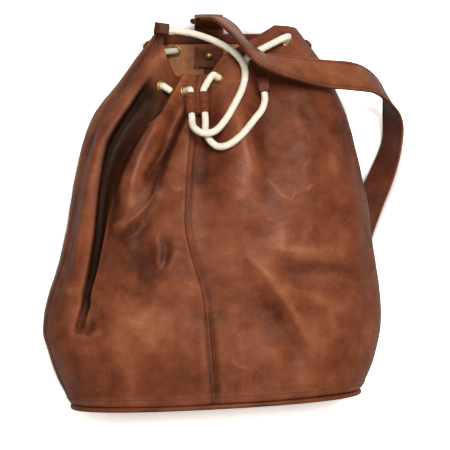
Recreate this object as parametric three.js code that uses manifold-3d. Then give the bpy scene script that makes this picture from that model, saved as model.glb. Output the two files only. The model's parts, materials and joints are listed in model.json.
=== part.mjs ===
// Drawstring duffle backpack in brown leather, lying on its back as it is laid on a table.
// Frame: X across the bag, Y from the base to the mouth, Z up from the table, in millimetres.
// The origin is on the flat of the back, which carries the bag.
import * as THREE from 'three';
import { mergeVertices } from 'three/addons/utils/BufferGeometryUtils.js';
import Module from 'manifold-3d';

const wasm = await Module();
wasm.setup();

// Clearances
const SEAM_GAP = 0.4;
const LAYER_GAP = 0.3;
const CORD_CLEARANCE = 0.5;
const LIE_CLEARANCE = 1.5;

// Bag body: leather, length and skew
const LEATHER = 2;
const BASE_Y = -197;
const RIM_Y = 205;
const FRONT_RIM_DIP = 54;
const BASE_SKEW_DEG = 3;

// Dip of the front rim, as its share at angles round the bag
const RIM_DIP_SHARES = [[48, 0], [80, 0.52], [86, 0.66], [94, 1], [131, 1], [138, 0.6], [147, 0.2], [158, 0]];

// Bag body: half widths to the left and right of the front seam line, from base to rim
const BASE_LEFT = 156;
const BASE_RIGHT = 160;
const BULGE_LEFT = 187;
const BULGE_RIGHT = 182;
const WAIST_LEFT = 167;
const WAIST_RIGHT = 170;
const SHOULDER_LEFT = 141;
const SHOULDER_RIGHT = 145;
const NECK_LEFT = 104;
const NECK_RIGHT = 125;
const RIM_LEFT = 62;
const RIM_RIGHT = 92;

// Bag body: height of the front wall over the table, and of the back wall near its ends
const BASE_FRONT_Z = 146;
const BODY_FRONT_Z = 150;
const SHOULDER_FRONT_Z = 124;
const RIM_FRONT_Z = 94;
const BASE_BACK_LIFT = 4;
const NECK_BACK_LIFT = 12.7;
const RIM_BACK_LIFT = 22;
const WIDEST_SHARE = 0.46;
const BACK_SINK = 8;
const FRONT_ROUNDNESS = 2.3;
const BACK_ROUNDNESS = 2.6;

// Seams, as angles round the bag (0 right, 90 front, 180 left, 270 back)
const FRONT_SEAM_BASE = 89.5;
const FRONT_SEAM_LOW = 91.2;
const FRONT_SEAM_MIDDLE = 97.5;
const FRONT_SEAM_RIM = 101;
const LEFT_SEAM_BASE = 166;
const LEFT_SEAM_MIDDLE = 159;
const LEFT_SEAM_NECK = 148;
const LEFT_SEAM_RIM = 151;
const RIGHT_SEAM = -6;

// Folds that the drawcord gathers at the mouth: angle at the rim, its drift towards the base,
// half width, share of the fold depth (outwards is positive), and where along the length it dies out.
// Folds narrow towards the base by the taper, and the facing flattens them by the slack near the rim.
const FOLD_DEPTH = 9;
const FOLD_TAPER = 0.4;
const RIM_SLACK = 0.4;
const SLACK_START = 0.86;
const FOLDS = [
  { angle: 140, drift: 9, spread: 13, depth: 1.2, reach: 0.16 },
  { angle: 126.5, drift: 20, spread: 12, depth: -0.9, reach: 0.14 },
  { angle: 127, drift: 16, spread: 12, depth: -1.1, reach: 0.82 },
  { angle: 116.5, drift: 12, spread: 12, depth: 1.15, reach: 0.34 },
  { angle: 108, drift: 16, spread: 10, depth: -0.85, reach: 0.5 },
  { angle: 92, drift: 0, spread: 10, depth: -0.8, reach: 0.5 },
  { angle: 82, drift: 0, spread: 12, depth: 0.9, reach: 0.42 },
  { angle: 67, drift: 0, spread: 15, depth: -0.75, reach: 0.5 },
  { angle: 35, drift: 0, spread: 26, depth: 0.45, reach: 0.6 },
  { angle: -10, drift: 0, spread: 22, depth: -1.6, reach: 0.7 },
  { angle: 315, drift: 0, spread: 17, depth: 0.65, reach: 0.72 },
  { angle: 227, drift: 0, spread: 17, depth: 0.65, reach: 0.72 },
  { angle: 192, drift: 0, spread: 22, depth: -1.55, reach: 0.7 },
];

// Creases of the slack front leather: places seen from above, half width and height (ridges are positive).
// Each fades in and out over a share of its length.
const CREASE_FADE = 0.3;
const CREASES = [
  { way: [[-118, -8], [-106, -12], [-92, -11], [-79, -2], [-68, 12], [-60, 28], [-54, 50]], width: 8, height: 3.4 },
  { way: [[-116, -25], [-100, -28], [-82, -21], [-66, -6], [-54, 12], [-46, 34]], width: 9, height: -3 },
  { way: [[-137, -146], [-137, -78]], width: 18, height: -8 },
  { way: [[-162, -124], [-136, -135], [-108, -120]], width: 10, height: 3.4 },
  { way: [[19, -25], [51, -56], [75, -89], [96, -126], [122, -165]], width: 14, height: 4.4 },
  { way: [[26, -66], [64, -108], [88, -142], [102, -168]], width: 17, height: -4.4 },
  { way: [[45, -36], [90, -42], [152, -41]], width: 12, height: 3.8 },
  { way: [[52, -55], [101, -61], [150, -56]], width: 10, height: -3 },
  { way: [[145, 67], [150, -6], [149, -68], [143, -135], [135, -165]], width: 9, height: 2.8 },
];

// Base: welt, panel and stiffener
const WELT_WIDTH = 4.6;
const WELT_HEIGHT = 5;
const WELT_PROUD = 0.8;
const BASE_PANEL = 3;
const BASE_BOARD = 2;
const BOARD_INSET = 4;

// Rim facing and eyelets
const FACING = 1.2;
const FACING_HEIGHT = 11;
const EYELET_BELOW_RIM = 18.5;
const EYELET_WALL = 0.6;
const EYELET_FLANGE = 1.5;
const EYELET_FLANGE_HEIGHT = 0.9;
const EYELET_ANGLES = [110, 123, 134, 178, 206, 241, 301, 336, 364, 406, 435.5, 448];

// Drawcord, its stopper and its end caps
const CORD_DIAMETER = 7.6;
const STOPPER_WALL = 1.9;
const STOPPER_LENGTH = 24;
const STOPPER_PITCH = 14;
const STOPPER_TOP = { x: -17.5, y: 128 };
const STOPPER_FOOT = { x: -16, y: 106 };
const SLIDE_REACH = 6;
const SLIDE_BACK = 2;
const STRAIGHT_OUT = 4;
const STRAIGHT_IN = 2.2;
const CAP_LENGTH = 16;
const CAP_WIDTH = 12;
const CAP_BORE_DEPTH = 10;

// Shoulder strap, its ring and its back tab
const STRAP_WIDTH = 32;
const STRAP_FACE = 2;
const STRAP_LINING = 1.6;
const STRAP_END_ANGLE = -29;
const STRAP_INNER_LEG = 26;
const STRAP_OUTER_LEG = 20;
const STRAP_START = 22;
const STRAP_RIVET_SHARES = [0.05, 0.095];
const RING_WIRE = 3.5;
const RING_INSIDE_WIDTH = 36;
const RING_INSIDE_HEIGHT = 13;
const RING_SLACK = 2.2;
const RING_CORNER = 4;
const RING_LEAN = 0.05;
const TAB_WIDTH = 33;
const TAB_LEATHER = 2.6;
const TAB_ANGLE = 266;
const TAB_X = -6;
const TAB_LEG = 44;
const TAB_PAST_RIM = 12;
const TAB_SEAT = 0.6;

// Key holder inside the back
const PATCH_WIDTH = 33;
const PATCH_LENGTH = 24;
const PATCH_BELOW_RIM = 25;
const PATCH_LEATHER = 1.8;
const KEY_LOOP_WIDTH = 10;
const KEY_LOOP_LEATHER = 1.4;
const KEY_LOOP_TUCKED_LEG = 14;
const KEY_LOOP_SHORT_LEG = 7;
const KEY_WIRE = 2.4;
const KEY_RING_WIDTH = 17;
const KEY_RING_LENGTH = 15;
const KEY_BAR_BELOW_RIM = 45;

// Rivets
const RIVET_HEAD = 4.4;
const RIVET_HEAD_HEIGHT = 1.6;
const RIVET_BURR = 4;
const RIVET_BURR_HEIGHT = 1;
const RIVET_SHANK = 1.8;
const RIVET_HOLE_CLEARANCE = 0.3;
const DRILL_REACH = 12;

const radians = THREE.MathUtils.degToRad;
const vec = (x, y, z) => new THREE.Vector3(x, y, z);
const bump = (t) => (Math.abs(t) < 1 ? 0.5 + 0.5 * Math.cos(Math.PI * t) : 0);

// Smooth curve through stops of [share, size] that never overshoots them.
function profile(stops) {
  const rise = stops.slice(1).map(([t, y], k) => (y - stops[k][1]) / (t - stops[k][0]));
  const slope = stops.map((_, k) => {
    if (k === 0) return rise[0];
    if (k === stops.length - 1) return rise[k - 1];
    const product = rise[k - 1] * rise[k];
    return product <= 0 ? 0 : (2 * product) / (rise[k - 1] + rise[k]);
  });
  return (share) => {
    let k = 0;
    while (k < stops.length - 2 && share > stops[k + 1][0]) k += 1;
    const span = stops[k + 1][0] - stops[k][0];
    const t = (share - stops[k][0]) / span;
    const u = 1 - t;
    return (1 + 2 * t) * u * u * stops[k][1] + t * u * u * span * slope[k]
      + t * t * (3 - 2 * t) * stops[k + 1][1] - t * t * u * span * slope[k + 1];
  };
}

const leftHalf = profile([[0, BASE_LEFT], [0.11, (BASE_LEFT + 2 * BULGE_LEFT) / 3],
  [0.2, BULGE_LEFT], [0.4, WAIST_LEFT], [0.72, SHOULDER_LEFT], [0.86, NECK_LEFT], [1, RIM_LEFT]]);
const rightHalf = profile([[0, BASE_RIGHT], [0.08, (BASE_RIGHT + 2 * BULGE_RIGHT) / 3],
  [0.18, BULGE_RIGHT], [0.46, WAIST_RIGHT], [0.76, SHOULDER_RIGHT], [0.88, NECK_RIGHT], [1, RIM_RIGHT]]);
const frontZ = profile([[0, BASE_FRONT_Z], [0.2, BODY_FRONT_Z], [0.5, BODY_FRONT_Z],
  [0.8, SHOULDER_FRONT_Z], [1, RIM_FRONT_Z]]);
const backLift = profile([[0, BASE_BACK_LIFT], [0.08, 0], [0.58, 0], [0.68, 0.19 * NECK_BACK_LIFT],
  [0.8, 0.45 * NECK_BACK_LIFT], [0.9, NECK_BACK_LIFT], [1, RIM_BACK_LIFT]]);
const frontSeam = profile([[0, FRONT_SEAM_BASE], [0.3, FRONT_SEAM_LOW], [0.57, FRONT_SEAM_MIDDLE],
  [0.76, FRONT_SEAM_MIDDLE], [1, FRONT_SEAM_RIM]]);
const leftSeam = profile([[0, LEFT_SEAM_BASE], [0.6, LEFT_SEAM_MIDDLE], [0.8, LEFT_SEAM_NECK],
  [1, LEFT_SEAM_RIM]]);
const rimDip = profile(RIM_DIP_SHARES);

const turn = (angle) => ((angle + 180) % 360 + 360) % 360 - 180;
const DIP_START = RIM_DIP_SHARES[0][0];
const DIP_END = RIM_DIP_SHARES[RIM_DIP_SHARES.length - 1][0];
const rimY = (angle) => RIM_Y - FRONT_RIM_DIP * rimDip(THREE.MathUtils.clamp(turn(angle), DIP_START, DIP_END));
const baseY = (x) => BASE_Y + Math.tan(radians(BASE_SKEW_DEG)) * x;

// Height of the creases at a place seen from above.
function creaseHeight(x, y) {
  let sum = 0;
  for (const { way, width, height } of CREASES) {
    const lengths = way.slice(1).map(([endX, endY], k) => Math.hypot(endX - way[k][0], endY - way[k][1]));
    const total = lengths.reduce((a, b) => a + b, 0);
    let nearest = Infinity;
    let along = 0;
    let start = 0;
    lengths.forEach((length, k) => {
      const runX = way[k + 1][0] - way[k][0];
      const runY = way[k + 1][1] - way[k][1];
      const t = THREE.MathUtils.clamp(((x - way[k][0]) * runX + (y - way[k][1]) * runY) / length ** 2, 0, 1);
      const distance = Math.hypot(x - way[k][0] - runX * t, y - way[k][1] - runY * t);
      if (distance < nearest) {
        nearest = distance;
        along = (start + length * t) / total;
      }
      start += length;
    });
    sum += height * Math.exp(-((nearest / width) ** 2)) * THREE.MathUtils.smoothstep(along, 0, CREASE_FADE)
      * THREE.MathUtils.smoothstep(1 - along, 0, CREASE_FADE);
  }
  return sum;
}

// Outside of the leather at an angle round the bag and a share of its length.
function shell(angle, share) {
  const c = Math.cos(radians(angle));
  const s = Math.sin(radians(angle));
  const power = 2 / (s >= 0 ? FRONT_ROUNDNESS : BACK_ROUNDNESS);
  const low = backLift(share);
  const high = frontZ(share);
  const middle = low + (high - low) * WIDEST_SHARE;
  const sideways = Math.sign(c) * Math.abs(c) ** power;
  const half = c >= 0 ? rightHalf : leftHalf;
  const reach = s >= 0 ? high - middle : middle - low + BACK_SINK;
  const out = new THREE.Vector2(Math.sign(c) * Math.abs(c) ** (2 - power) / half(share),
    Math.sign(s) * Math.abs(s) ** (2 - power) / reach).normalize();
  let depth = 0;
  const narrow = 1 - FOLD_TAPER * (1 - share);
  const slack = 1 - RIM_SLACK * THREE.MathUtils.smoothstep(share, SLACK_START, 1);
  for (const fold of FOLDS) {
    const along = THREE.MathUtils.clamp((share - fold.reach) / (1 - fold.reach), 0, 1);
    const centre = fold.angle + fold.drift * (1 - share);
    const across = bump(turn(angle - centre) / (fold.spread * narrow));
    depth += fold.depth * FOLD_DEPTH * across * along * (2 - along) * slack;
  }
  const z = Math.max(middle + reach * Math.sign(s) * Math.abs(s) ** power, low);
  const y = THREE.MathUtils.lerp(baseY(half(0) * sideways), rimY(angle), share);
  const front = THREE.MathUtils.smoothstep(s, 0.1, 0.45) * THREE.MathUtils.smoothstep(share, 0, 0.05);
  if (front > 0) depth += creaseHeight(half(share) * sideways, y) * front;
  return vec(half(share) * sideways + out.x * depth, y, z + out.y * depth);
}

// Outward normal of the leather, and the direction towards the rim.
function shellFrame(angle, share) {
  const up = Math.min(share + 0.004, 1);
  const down = Math.max(share - 0.004, 0);
  const along = shell(angle, up).sub(shell(angle, down)).normalize();
  const round = shell(angle + 0.4, share).sub(shell(angle - 0.4, share)).normalize();
  const normal = along.clone().cross(round).normalize();
  return { point: shell(angle, share), normal, along };
}

// Height of the front wall over the table at a place seen from above.
function frontHeight(x, y) {
  let best = 0;
  let last = null;
  for (let angle = -20; angle <= 200; angle += 1) {
    let share = (y - BASE_Y) / (rimY(angle) - BASE_Y);
    if (share > 1 || share < 0) {
      last = null;
      continue;
    }
    let p = shell(angle, share);
    share = THREE.MathUtils.clamp(share + (y - p.y) / (rimY(angle) - BASE_Y), 0, 1);
    p = shell(angle, share);
    if (last && (p.x - x) * (last.x - x) <= 0 && p.x !== last.x) {
      best = Math.max(best, THREE.MathUtils.lerp(last.z, p.z, (x - last.x) / (p.x - last.x)));
    }
    last = p;
  }
  return best;
}

// Geometry with shared corners, facing outwards.
function body(positions, index) {
  const geometry = new THREE.BufferGeometry();
  geometry.setAttribute('position', new THREE.Float32BufferAttribute(positions, 3));
  geometry.setIndex(index);
  return outward(geometry);
}

function outward(source) {
  const geometry = source.index ? source.clone() : source;
  geometry.deleteAttribute('normal');
  geometry.deleteAttribute('uv');
  const merged = mergeVertices(geometry, 1e-4);
  const p = merged.attributes.position;
  const index = merged.index.array;
  const at = (k) => vec(p.getX(index[k]), p.getY(index[k]), p.getZ(index[k]));
  let volume = 0;
  for (let k = 0; k < index.length; k += 3) volume += at(k).dot(at(k + 1).cross(at(k + 2)));
  if (volume < 0) {
    for (let k = 0; k < index.length; k += 3) {
      [index[k], index[k + 1]] = [index[k + 1], index[k]];
    }
  }
  return merged;
}

function solid(geometry) {
  const clean = outward(geometry);
  return new wasm.Manifold(new wasm.Mesh({
    numProp: 3,
    vertProperties: new Float32Array(clean.attributes.position.array),
    triVerts: new Uint32Array(clean.index.array),
  }));
}

function fromSolid(shape) {
  const mesh = shape.getMesh();
  const geometry = new THREE.BufferGeometry();
  geometry.setAttribute('position', new THREE.BufferAttribute(mesh.vertProperties, 3));
  geometry.setIndex(new THREE.BufferAttribute(mesh.triVerts, 1));
  return geometry;
}

// Sheet of leather between two grids of corners, closed at its four edges.
function sheet(outer, inner) {
  const rows = outer.length;
  const columns = outer[0].length;
  const positions = [];
  for (const grid of [outer, inner]) {
    for (const row of grid) for (const p of row) positions.push(p.x, p.y, p.z);
  }
  const near = (i, j) => i * columns + j;
  const far = (i, j) => rows * columns + i * columns + j;
  const index = [];
  const quad = (a, b, c, d) => index.push(a, b, c, a, c, d);
  for (let i = 0; i < rows - 1; i += 1) {
    for (let j = 0; j < columns - 1; j += 1) {
      quad(near(i, j), near(i, j + 1), near(i + 1, j + 1), near(i + 1, j));
      quad(far(i, j), far(i + 1, j), far(i + 1, j + 1), far(i, j + 1));
    }
    quad(near(i, 0), near(i + 1, 0), far(i + 1, 0), far(i, 0));
    quad(near(i + 1, columns - 1), near(i, columns - 1), far(i, columns - 1), far(i + 1, columns - 1));
  }
  for (let j = 0; j < columns - 1; j += 1) {
    quad(near(0, j + 1), near(0, j), far(0, j), far(0, j + 1));
    quad(near(rows - 1, j), near(rows - 1, j + 1), far(rows - 1, j + 1), far(rows - 1, j));
  }
  return body(positions, index);
}

// Frames along stations of { point, normal }: the normal squared to the run, and the left.
function frames(stations) {
  return stations.map(({ point, normal }, k) => {
    const ahead = stations[Math.min(k + 1, stations.length - 1)].point;
    const behind = stations[Math.max(k - 1, 0)].point;
    const run = ahead.clone().sub(behind).normalize();
    const left = normal.clone().cross(run).normalize();
    return { point, left, normal: run.clone().cross(left).normalize() };
  });
}

// Band of leather along frames, between two heights over their line.
function ribbon(line, width, low, high) {
  const edge = (height) => line.map(({ point, left, normal }) => [-0.5, 0.5].map((side) => point.clone()
    .addScaledVector(left, side * width).addScaledVector(normal, height)));
  return sheet(edge(high), edge(low));
}

// Closed loop of a profile of [outwards, depth] round a flat outline.
function loop(outline, outlineProfile) {
  const count = outline.length;
  const sides = outlineProfile.length;
  const positions = [];
  outline.forEach((p, k) => {
    const run = outline[(k + 1) % count].clone().sub(outline[(k + count - 1) % count]).normalize();
    for (const [out, depth] of outlineProfile) {
      positions.push(p.x + run.y * out, p.y - run.x * out, depth);
    }
  });
  const index = [];
  for (let k = 0; k < count; k += 1) {
    for (let s = 0; s < sides; s += 1) {
      const a = k * sides + s;
      const b = k * sides + (s + 1) % sides;
      const c = ((k + 1) % count) * sides + (s + 1) % sides;
      const d = ((k + 1) % count) * sides + s;
      index.push(a, b, c, a, c, d);
    }
  }
  return body(positions, index);
}

const ring = (radius, sides) => Array.from({ length: sides }, (_, k) => {
  const angle = (2 * Math.PI * (k + 0.5)) / sides;
  return [radius * Math.cos(angle), radius * Math.sin(angle)];
});

function tube(points, diameter, steps) {
  const path = new THREE.CatmullRomCurve3(points, false, 'centripetal');
  const section = new THREE.Shape(ring(diameter / 2, 8).map(([x, y]) => new THREE.Vector2(x, y)));
  return outward(new THREE.ExtrudeGeometry(section, { steps, extrudePath: path, bevelEnabled: false }));
}

// Turned piece from a closed profile of [radius, height], its axis along local Z.
function turned(points, segments) {
  const profilePoints = points.map(([r, h]) => new THREE.Vector2(r, h));
  return outward(new THREE.LatheGeometry(profilePoints, segments).rotateX(Math.PI / 2));
}

// Placement with local Z along a normal and local X along a run.
function placement(point, normal, run) {
  const z = normal.clone().normalize();
  const y = z.clone().cross(run).normalize();
  const x = y.clone().cross(z);
  return new THREE.Matrix4().makeBasis(x, y, z).setPosition(point);
}

// Leather layers waiting for their holes, by node name.
const layers = new Map();
function addLayer(name, geometry) {
  layers.set(name, solid(geometry));
}
function drill(names, place, radius, from, to) {
  const cutter = new THREE.CylinderGeometry(radius, radius, to - from, 10).rotateX(Math.PI / 2)
    .translate(0, 0, (from + to) / 2).applyMatrix4(place);
  const tool = solid(cutter);
  for (const name of names) layers.set(name, layers.get(name).subtract(tool));
}

const material = (name, color, roughness, metalness = 0) => {
  const made = new THREE.MeshStandardMaterial({ color, roughness, metalness });
  made.name = name;
  return made;
};
const makers = {
  leather: () => material('leather', 0x74432c, 0.55),
  suede: () => material('suede', 0x5e4638, 0.95),
  cotton: () => material('cotton', 0xe9e4d8, 0.9),
  brass: () => material('brass', 0xb08d4c, 0.35, 1),
  gunmetal: () => material('gunmetal', 0x4a4542, 0.35, 1),
  board: () => material('board', 0x8a7a66, 0.95),
};

const part = new THREE.Group();
part.name = 'drawstring_backpack';
function addMesh(name, geometry, maker, parent = part) {
  const mesh = new THREE.Mesh(geometry, makers[maker]());
  mesh.name = name;
  parent.add(mesh);
  return mesh;
}
function addPlaced(name, geometry, maker, place) {
  const mesh = addMesh(name, geometry, maker);
  place.decompose(mesh.position, mesh.quaternion, mesh.scale);
  return mesh;
}

// Body panels
const FACING_SHARE = 1 - FACING_HEIGHT / (RIM_Y - BASE_Y);
const range = (from, to, count) => Array.from({ length: count + 1 },
  (_, k) => from + (to - from) * k / count);
const ROWS = [0, ...range(0.035, 0.595, 14), ...range(0.64, 0.935, 7), FACING_SHARE, 1];
const LEFT_COLUMNS = range(0, 1, 24);
const RIGHT_COLUMNS = [-6, 3, 12, 20, 27, 33, 39, 45, 50, 55, 60, 64, 68, 72, 76, 79.5, 82.5, 85.5, 88.5, 91.5,
  94.5, 97.5, FRONT_SEAM_RIM].map((angle) => (angle - RIGHT_SEAM) / (FRONT_SEAM_RIM - RIGHT_SEAM));
const BACK_COLUMNS = range(0, 1, 20);

function panelAngle(from, to, fraction, share) {
  const start = from(share);
  const end = to(share);
  const mmPerDegree = (angle) => shell(angle + 0.5, share).distanceTo(shell(angle - 0.5, share));
  const first = start + SEAM_GAP / 2 / mmPerDegree(start);
  const last = end - SEAM_GAP / 2 / mmPerDegree(end);
  return first + (last - first) * fraction;
}
function panel(name, from, to, columns) {
  const grid = (inside) => ROWS.map((share) => columns.map((fraction) => {
    const { point, normal } = shellFrame(panelAngle(from, to, fraction, share), share);
    return point.addScaledVector(normal, -inside);
  }));
  addLayer(name, sheet(grid(0), grid(LEATHER)));
}
panel('front_left_panel', frontSeam, leftSeam, LEFT_COLUMNS);
panel('front_right_panel', () => RIGHT_SEAM, frontSeam, RIGHT_COLUMNS);
panel('back_panel', leftSeam, () => RIGHT_SEAM + 360, BACK_COLUMNS);

// Facing strip inside the rim, all the way round
const facingAngles = (share) => [
  ...RIGHT_COLUMNS.slice(0, -1).map((f) => RIGHT_SEAM + (frontSeam(share) - RIGHT_SEAM) * f),
  ...LEFT_COLUMNS.slice(0, -1).map((f) => frontSeam(share) + (leftSeam(share) - frontSeam(share)) * f),
  ...BACK_COLUMNS.slice(0, -1).map((f) => leftSeam(share) + (RIGHT_SEAM + 360 - leftSeam(share)) * f),
];
function facing() {
  const shares = ROWS.filter((share) => share >= FACING_SHARE);
  const count = facingAngles(1).length;
  const positions = [];
  for (const depth of [LEATHER + LAYER_GAP, LEATHER + LAYER_GAP + FACING]) {
    for (const share of shares) {
      for (const angle of facingAngles(share)) {
        const { point, normal } = shellFrame(angle, share);
        const p = point.addScaledVector(normal, -depth);
        positions.push(p.x, p.y, p.z);
      }
    }
  }
  const at = (layer, i, j) => (layer * shares.length + i) * count + (j % count);
  const index = [];
  const quad = (a, b, c, d) => index.push(a, b, c, a, c, d);
  const top = shares.length - 1;
  for (let j = 0; j < count; j += 1) {
    for (let i = 0; i < top; i += 1) {
      quad(at(0, i, j), at(0, i, j + 1), at(0, i + 1, j + 1), at(0, i + 1, j));
      quad(at(1, i, j), at(1, i + 1, j), at(1, i + 1, j + 1), at(1, i, j + 1));
    }
    quad(at(0, 0, j + 1), at(0, 0, j), at(1, 0, j), at(1, 0, j + 1));
    quad(at(0, top, j), at(0, top, j + 1), at(1, top, j + 1), at(1, top, j));
  }
  return body(positions, index);
}
addLayer('rim_facing', facing());

// Eyelets through the panels
const EYELET_BORE = CORD_DIAMETER / 2 + CORD_CLEARANCE;
const EYELET_BARREL = EYELET_BORE + EYELET_WALL;
const FLANGE_RADIUS = EYELET_BARREL + EYELET_FLANGE;
const panelAt = (angle) => {
  const a = turn(angle);
  if (a > RIGHT_SEAM && a < FRONT_SEAM_RIM) return 'front_right_panel';
  return a >= FRONT_SEAM_RIM && a < LEFT_SEAM_RIM ? 'front_left_panel' : 'back_panel';
};
const eyelets = EYELET_ANGLES.map((angle) => {
  const share = 1 - EYELET_BELOW_RIM / (rimY(angle) - BASE_Y);
  return { angle, ...shellFrame(angle, share) };
});
const eyeletProfile = [
  [EYELET_BORE, -LEATHER - LAYER_GAP - EYELET_FLANGE_HEIGHT],
  [FLANGE_RADIUS - 0.2, -LEATHER - LAYER_GAP],
  [EYELET_BARREL, -LEATHER - LAYER_GAP],
  [EYELET_BARREL, LAYER_GAP],
  [FLANGE_RADIUS, LAYER_GAP],
  [FLANGE_RADIUS - 0.5, LAYER_GAP + EYELET_FLANGE_HEIGHT],
  [EYELET_BORE, LAYER_GAP + EYELET_FLANGE_HEIGHT],
  [EYELET_BORE, -LEATHER - LAYER_GAP - EYELET_FLANGE_HEIGHT],
];
eyelets.forEach((eyelet, k) => {
  const place = placement(eyelet.point, eyelet.normal, eyelet.along);
  const around = [panelAt(eyelet.angle)];
  drill(around, place, EYELET_BARREL + LAYER_GAP, -DRILL_REACH, DRILL_REACH);
  drill(around, place, FLANGE_RADIUS + LAYER_GAP, 0, DRILL_REACH);
  drill(around, place, FLANGE_RADIUS + LAYER_GAP, -DRILL_REACH, -LEATHER);
  addPlaced(`eyelet_${String(k + 1).padStart(2, '0')}`, turned(eyeletProfile, 10), 'brass', place);
});

// Base: welt, base panel and stiffening board, flat on the skewed base plane
const baseGroup = new THREE.Group();
baseGroup.position.set(0, BASE_Y, 0);
baseGroup.rotation.z = radians(BASE_SKEW_DEG);
const basePlane = new THREE.Group();
basePlane.rotation.x = Math.PI / 2;
baseGroup.add(basePlane);
part.add(baseGroup);
const baseOutline = range(0, 360, 40).slice(0, -1).map((angle) => {
  const p = shell(angle, 0);
  return new THREE.Vector2(p.x / Math.cos(radians(BASE_SKEW_DEG)), p.z);
});
const insetOutline = (inset) => baseOutline.map((p, k) => {
  const count = baseOutline.length;
  const run = baseOutline[(k + 1) % count].clone().sub(baseOutline[(k + count - 1) % count]).normalize();
  return new THREE.Vector2(p.x - run.y * inset, p.y + run.x * inset);
});
const plate = (inset, thickness, from) => new THREE.ExtrudeGeometry(new THREE.Shape(insetOutline(inset)),
  { depth: thickness, bevelEnabled: false }).translate(0, 0, from);
const WELT_BACK = WELT_PROUD - WELT_WIDTH;
addMesh('base_welt', loop(baseOutline, [
  [WELT_BACK, LAYER_GAP], [WELT_PROUD - 1.2, LAYER_GAP], [WELT_PROUD, LAYER_GAP + 1.4],
  [WELT_PROUD, LAYER_GAP + WELT_HEIGHT - 1.6], [WELT_PROUD - 1.4, LAYER_GAP + WELT_HEIGHT],
  [WELT_BACK, LAYER_GAP + WELT_HEIGHT]]), 'leather', basePlane);
addMesh('base_panel', outward(plate(LAYER_GAP - WELT_BACK, BASE_PANEL, LAYER_GAP)), 'leather', basePlane);
addMesh('base_board', outward(plate(BOARD_INSET, BASE_BOARD, -BASE_BOARD)), 'board', basePlane);

// Band of leather folded round a bar: from the end of one leg, round the bar, to the other.
function fold(bar, away, face, hollow, thickness, gap, legA, legB) {
  const radius = hollow + thickness / 2;
  const half = gap / 2 + thickness / 2;
  const at = (t, f, normal) => ({
    point: bar.clone().addScaledVector(away, t).addScaledVector(face, f), normal,
  });
  const back = face.clone().negate();
  const legs = (side, normal, far) => [
    at(far, side * half, normal),
    at(2.6 * radius, side * half, normal),
    at(1.3 * radius, side * (half + (radius - half) * 0.6), normal),
  ];
  const bend = range(-90, -270, 6).map((degrees) => {
    const c = Math.cos(radians(degrees));
    const s = Math.sin(radians(degrees));
    const normal = away.clone().multiplyScalar(c).addScaledVector(face, s);
    return at(radius * c, radius * s, normal);
  });
  return [...legs(-1, back, legA), ...bend, ...legs(1, face, legB).reverse()];
}

// Flat frame on the back wall, a distance below the rim, at the middle of the tab.
function wall(below) {
  const { point, normal, along } = shellFrame(TAB_ANGLE, 1 - below / (RIM_Y - BASE_Y));
  return {
    point: vec(TAB_X, point.y, point.z),
    normal: vec(0, normal.y, normal.z).normalize(),
    along: vec(0, along.y, along.z).normalize(),
  };
}

// Back tab folded round the lower bar of the strap ring
const rim = wall(0);
const tabMiddle = rim.point.clone().addScaledVector(rim.normal, TAB_SEAT + TAB_LEATHER + LAYER_GAP / 2);
const lowerBar = tabMiddle.clone().addScaledVector(rim.along, TAB_PAST_RIM);
addLayer('back_tab', ribbon(frames(fold(lowerBar, rim.along.clone().negate(), rim.normal,
  RING_WIRE / 2 + LAYER_GAP, TAB_LEATHER, LAYER_GAP, TAB_LEG, TAB_LEG)), TAB_WIDTH,
-TAB_LEATHER / 2, TAB_LEATHER / 2));

// Strap ring standing on the tab
const ringUp = vec(0, RING_LEAN, 1).normalize();
const barPitch = RING_INSIDE_HEIGHT + RING_WIRE;
const upperBar = lowerBar.clone().addScaledVector(ringUp, barPitch);
function ringOutline(width, height, corner) {
  const points = [];
  for (const [sx, sy, start] of [[1, 1, 0], [-1, 1, 90], [-1, -1, 180], [1, -1, 270]]) {
    for (const degrees of range(start, start + 90, 3)) {
      points.push(new THREE.Vector2(sx * (width / 2 - corner) + corner * Math.cos(radians(degrees)),
        sy * (height / 2 - corner) + corner * Math.sin(radians(degrees))));
    }
  }
  return points;
}
addPlaced('strap_ring', loop(ringOutline(RING_INSIDE_WIDTH + RING_WIRE, barPitch, RING_CORNER),
  ring(RING_WIRE / 2, 8)), 'gunmetal',
placement(lowerBar.clone().lerp(upperBar, 0.5), vec(0, -1, RING_LEAN), vec(1, 0, 0)));

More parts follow.
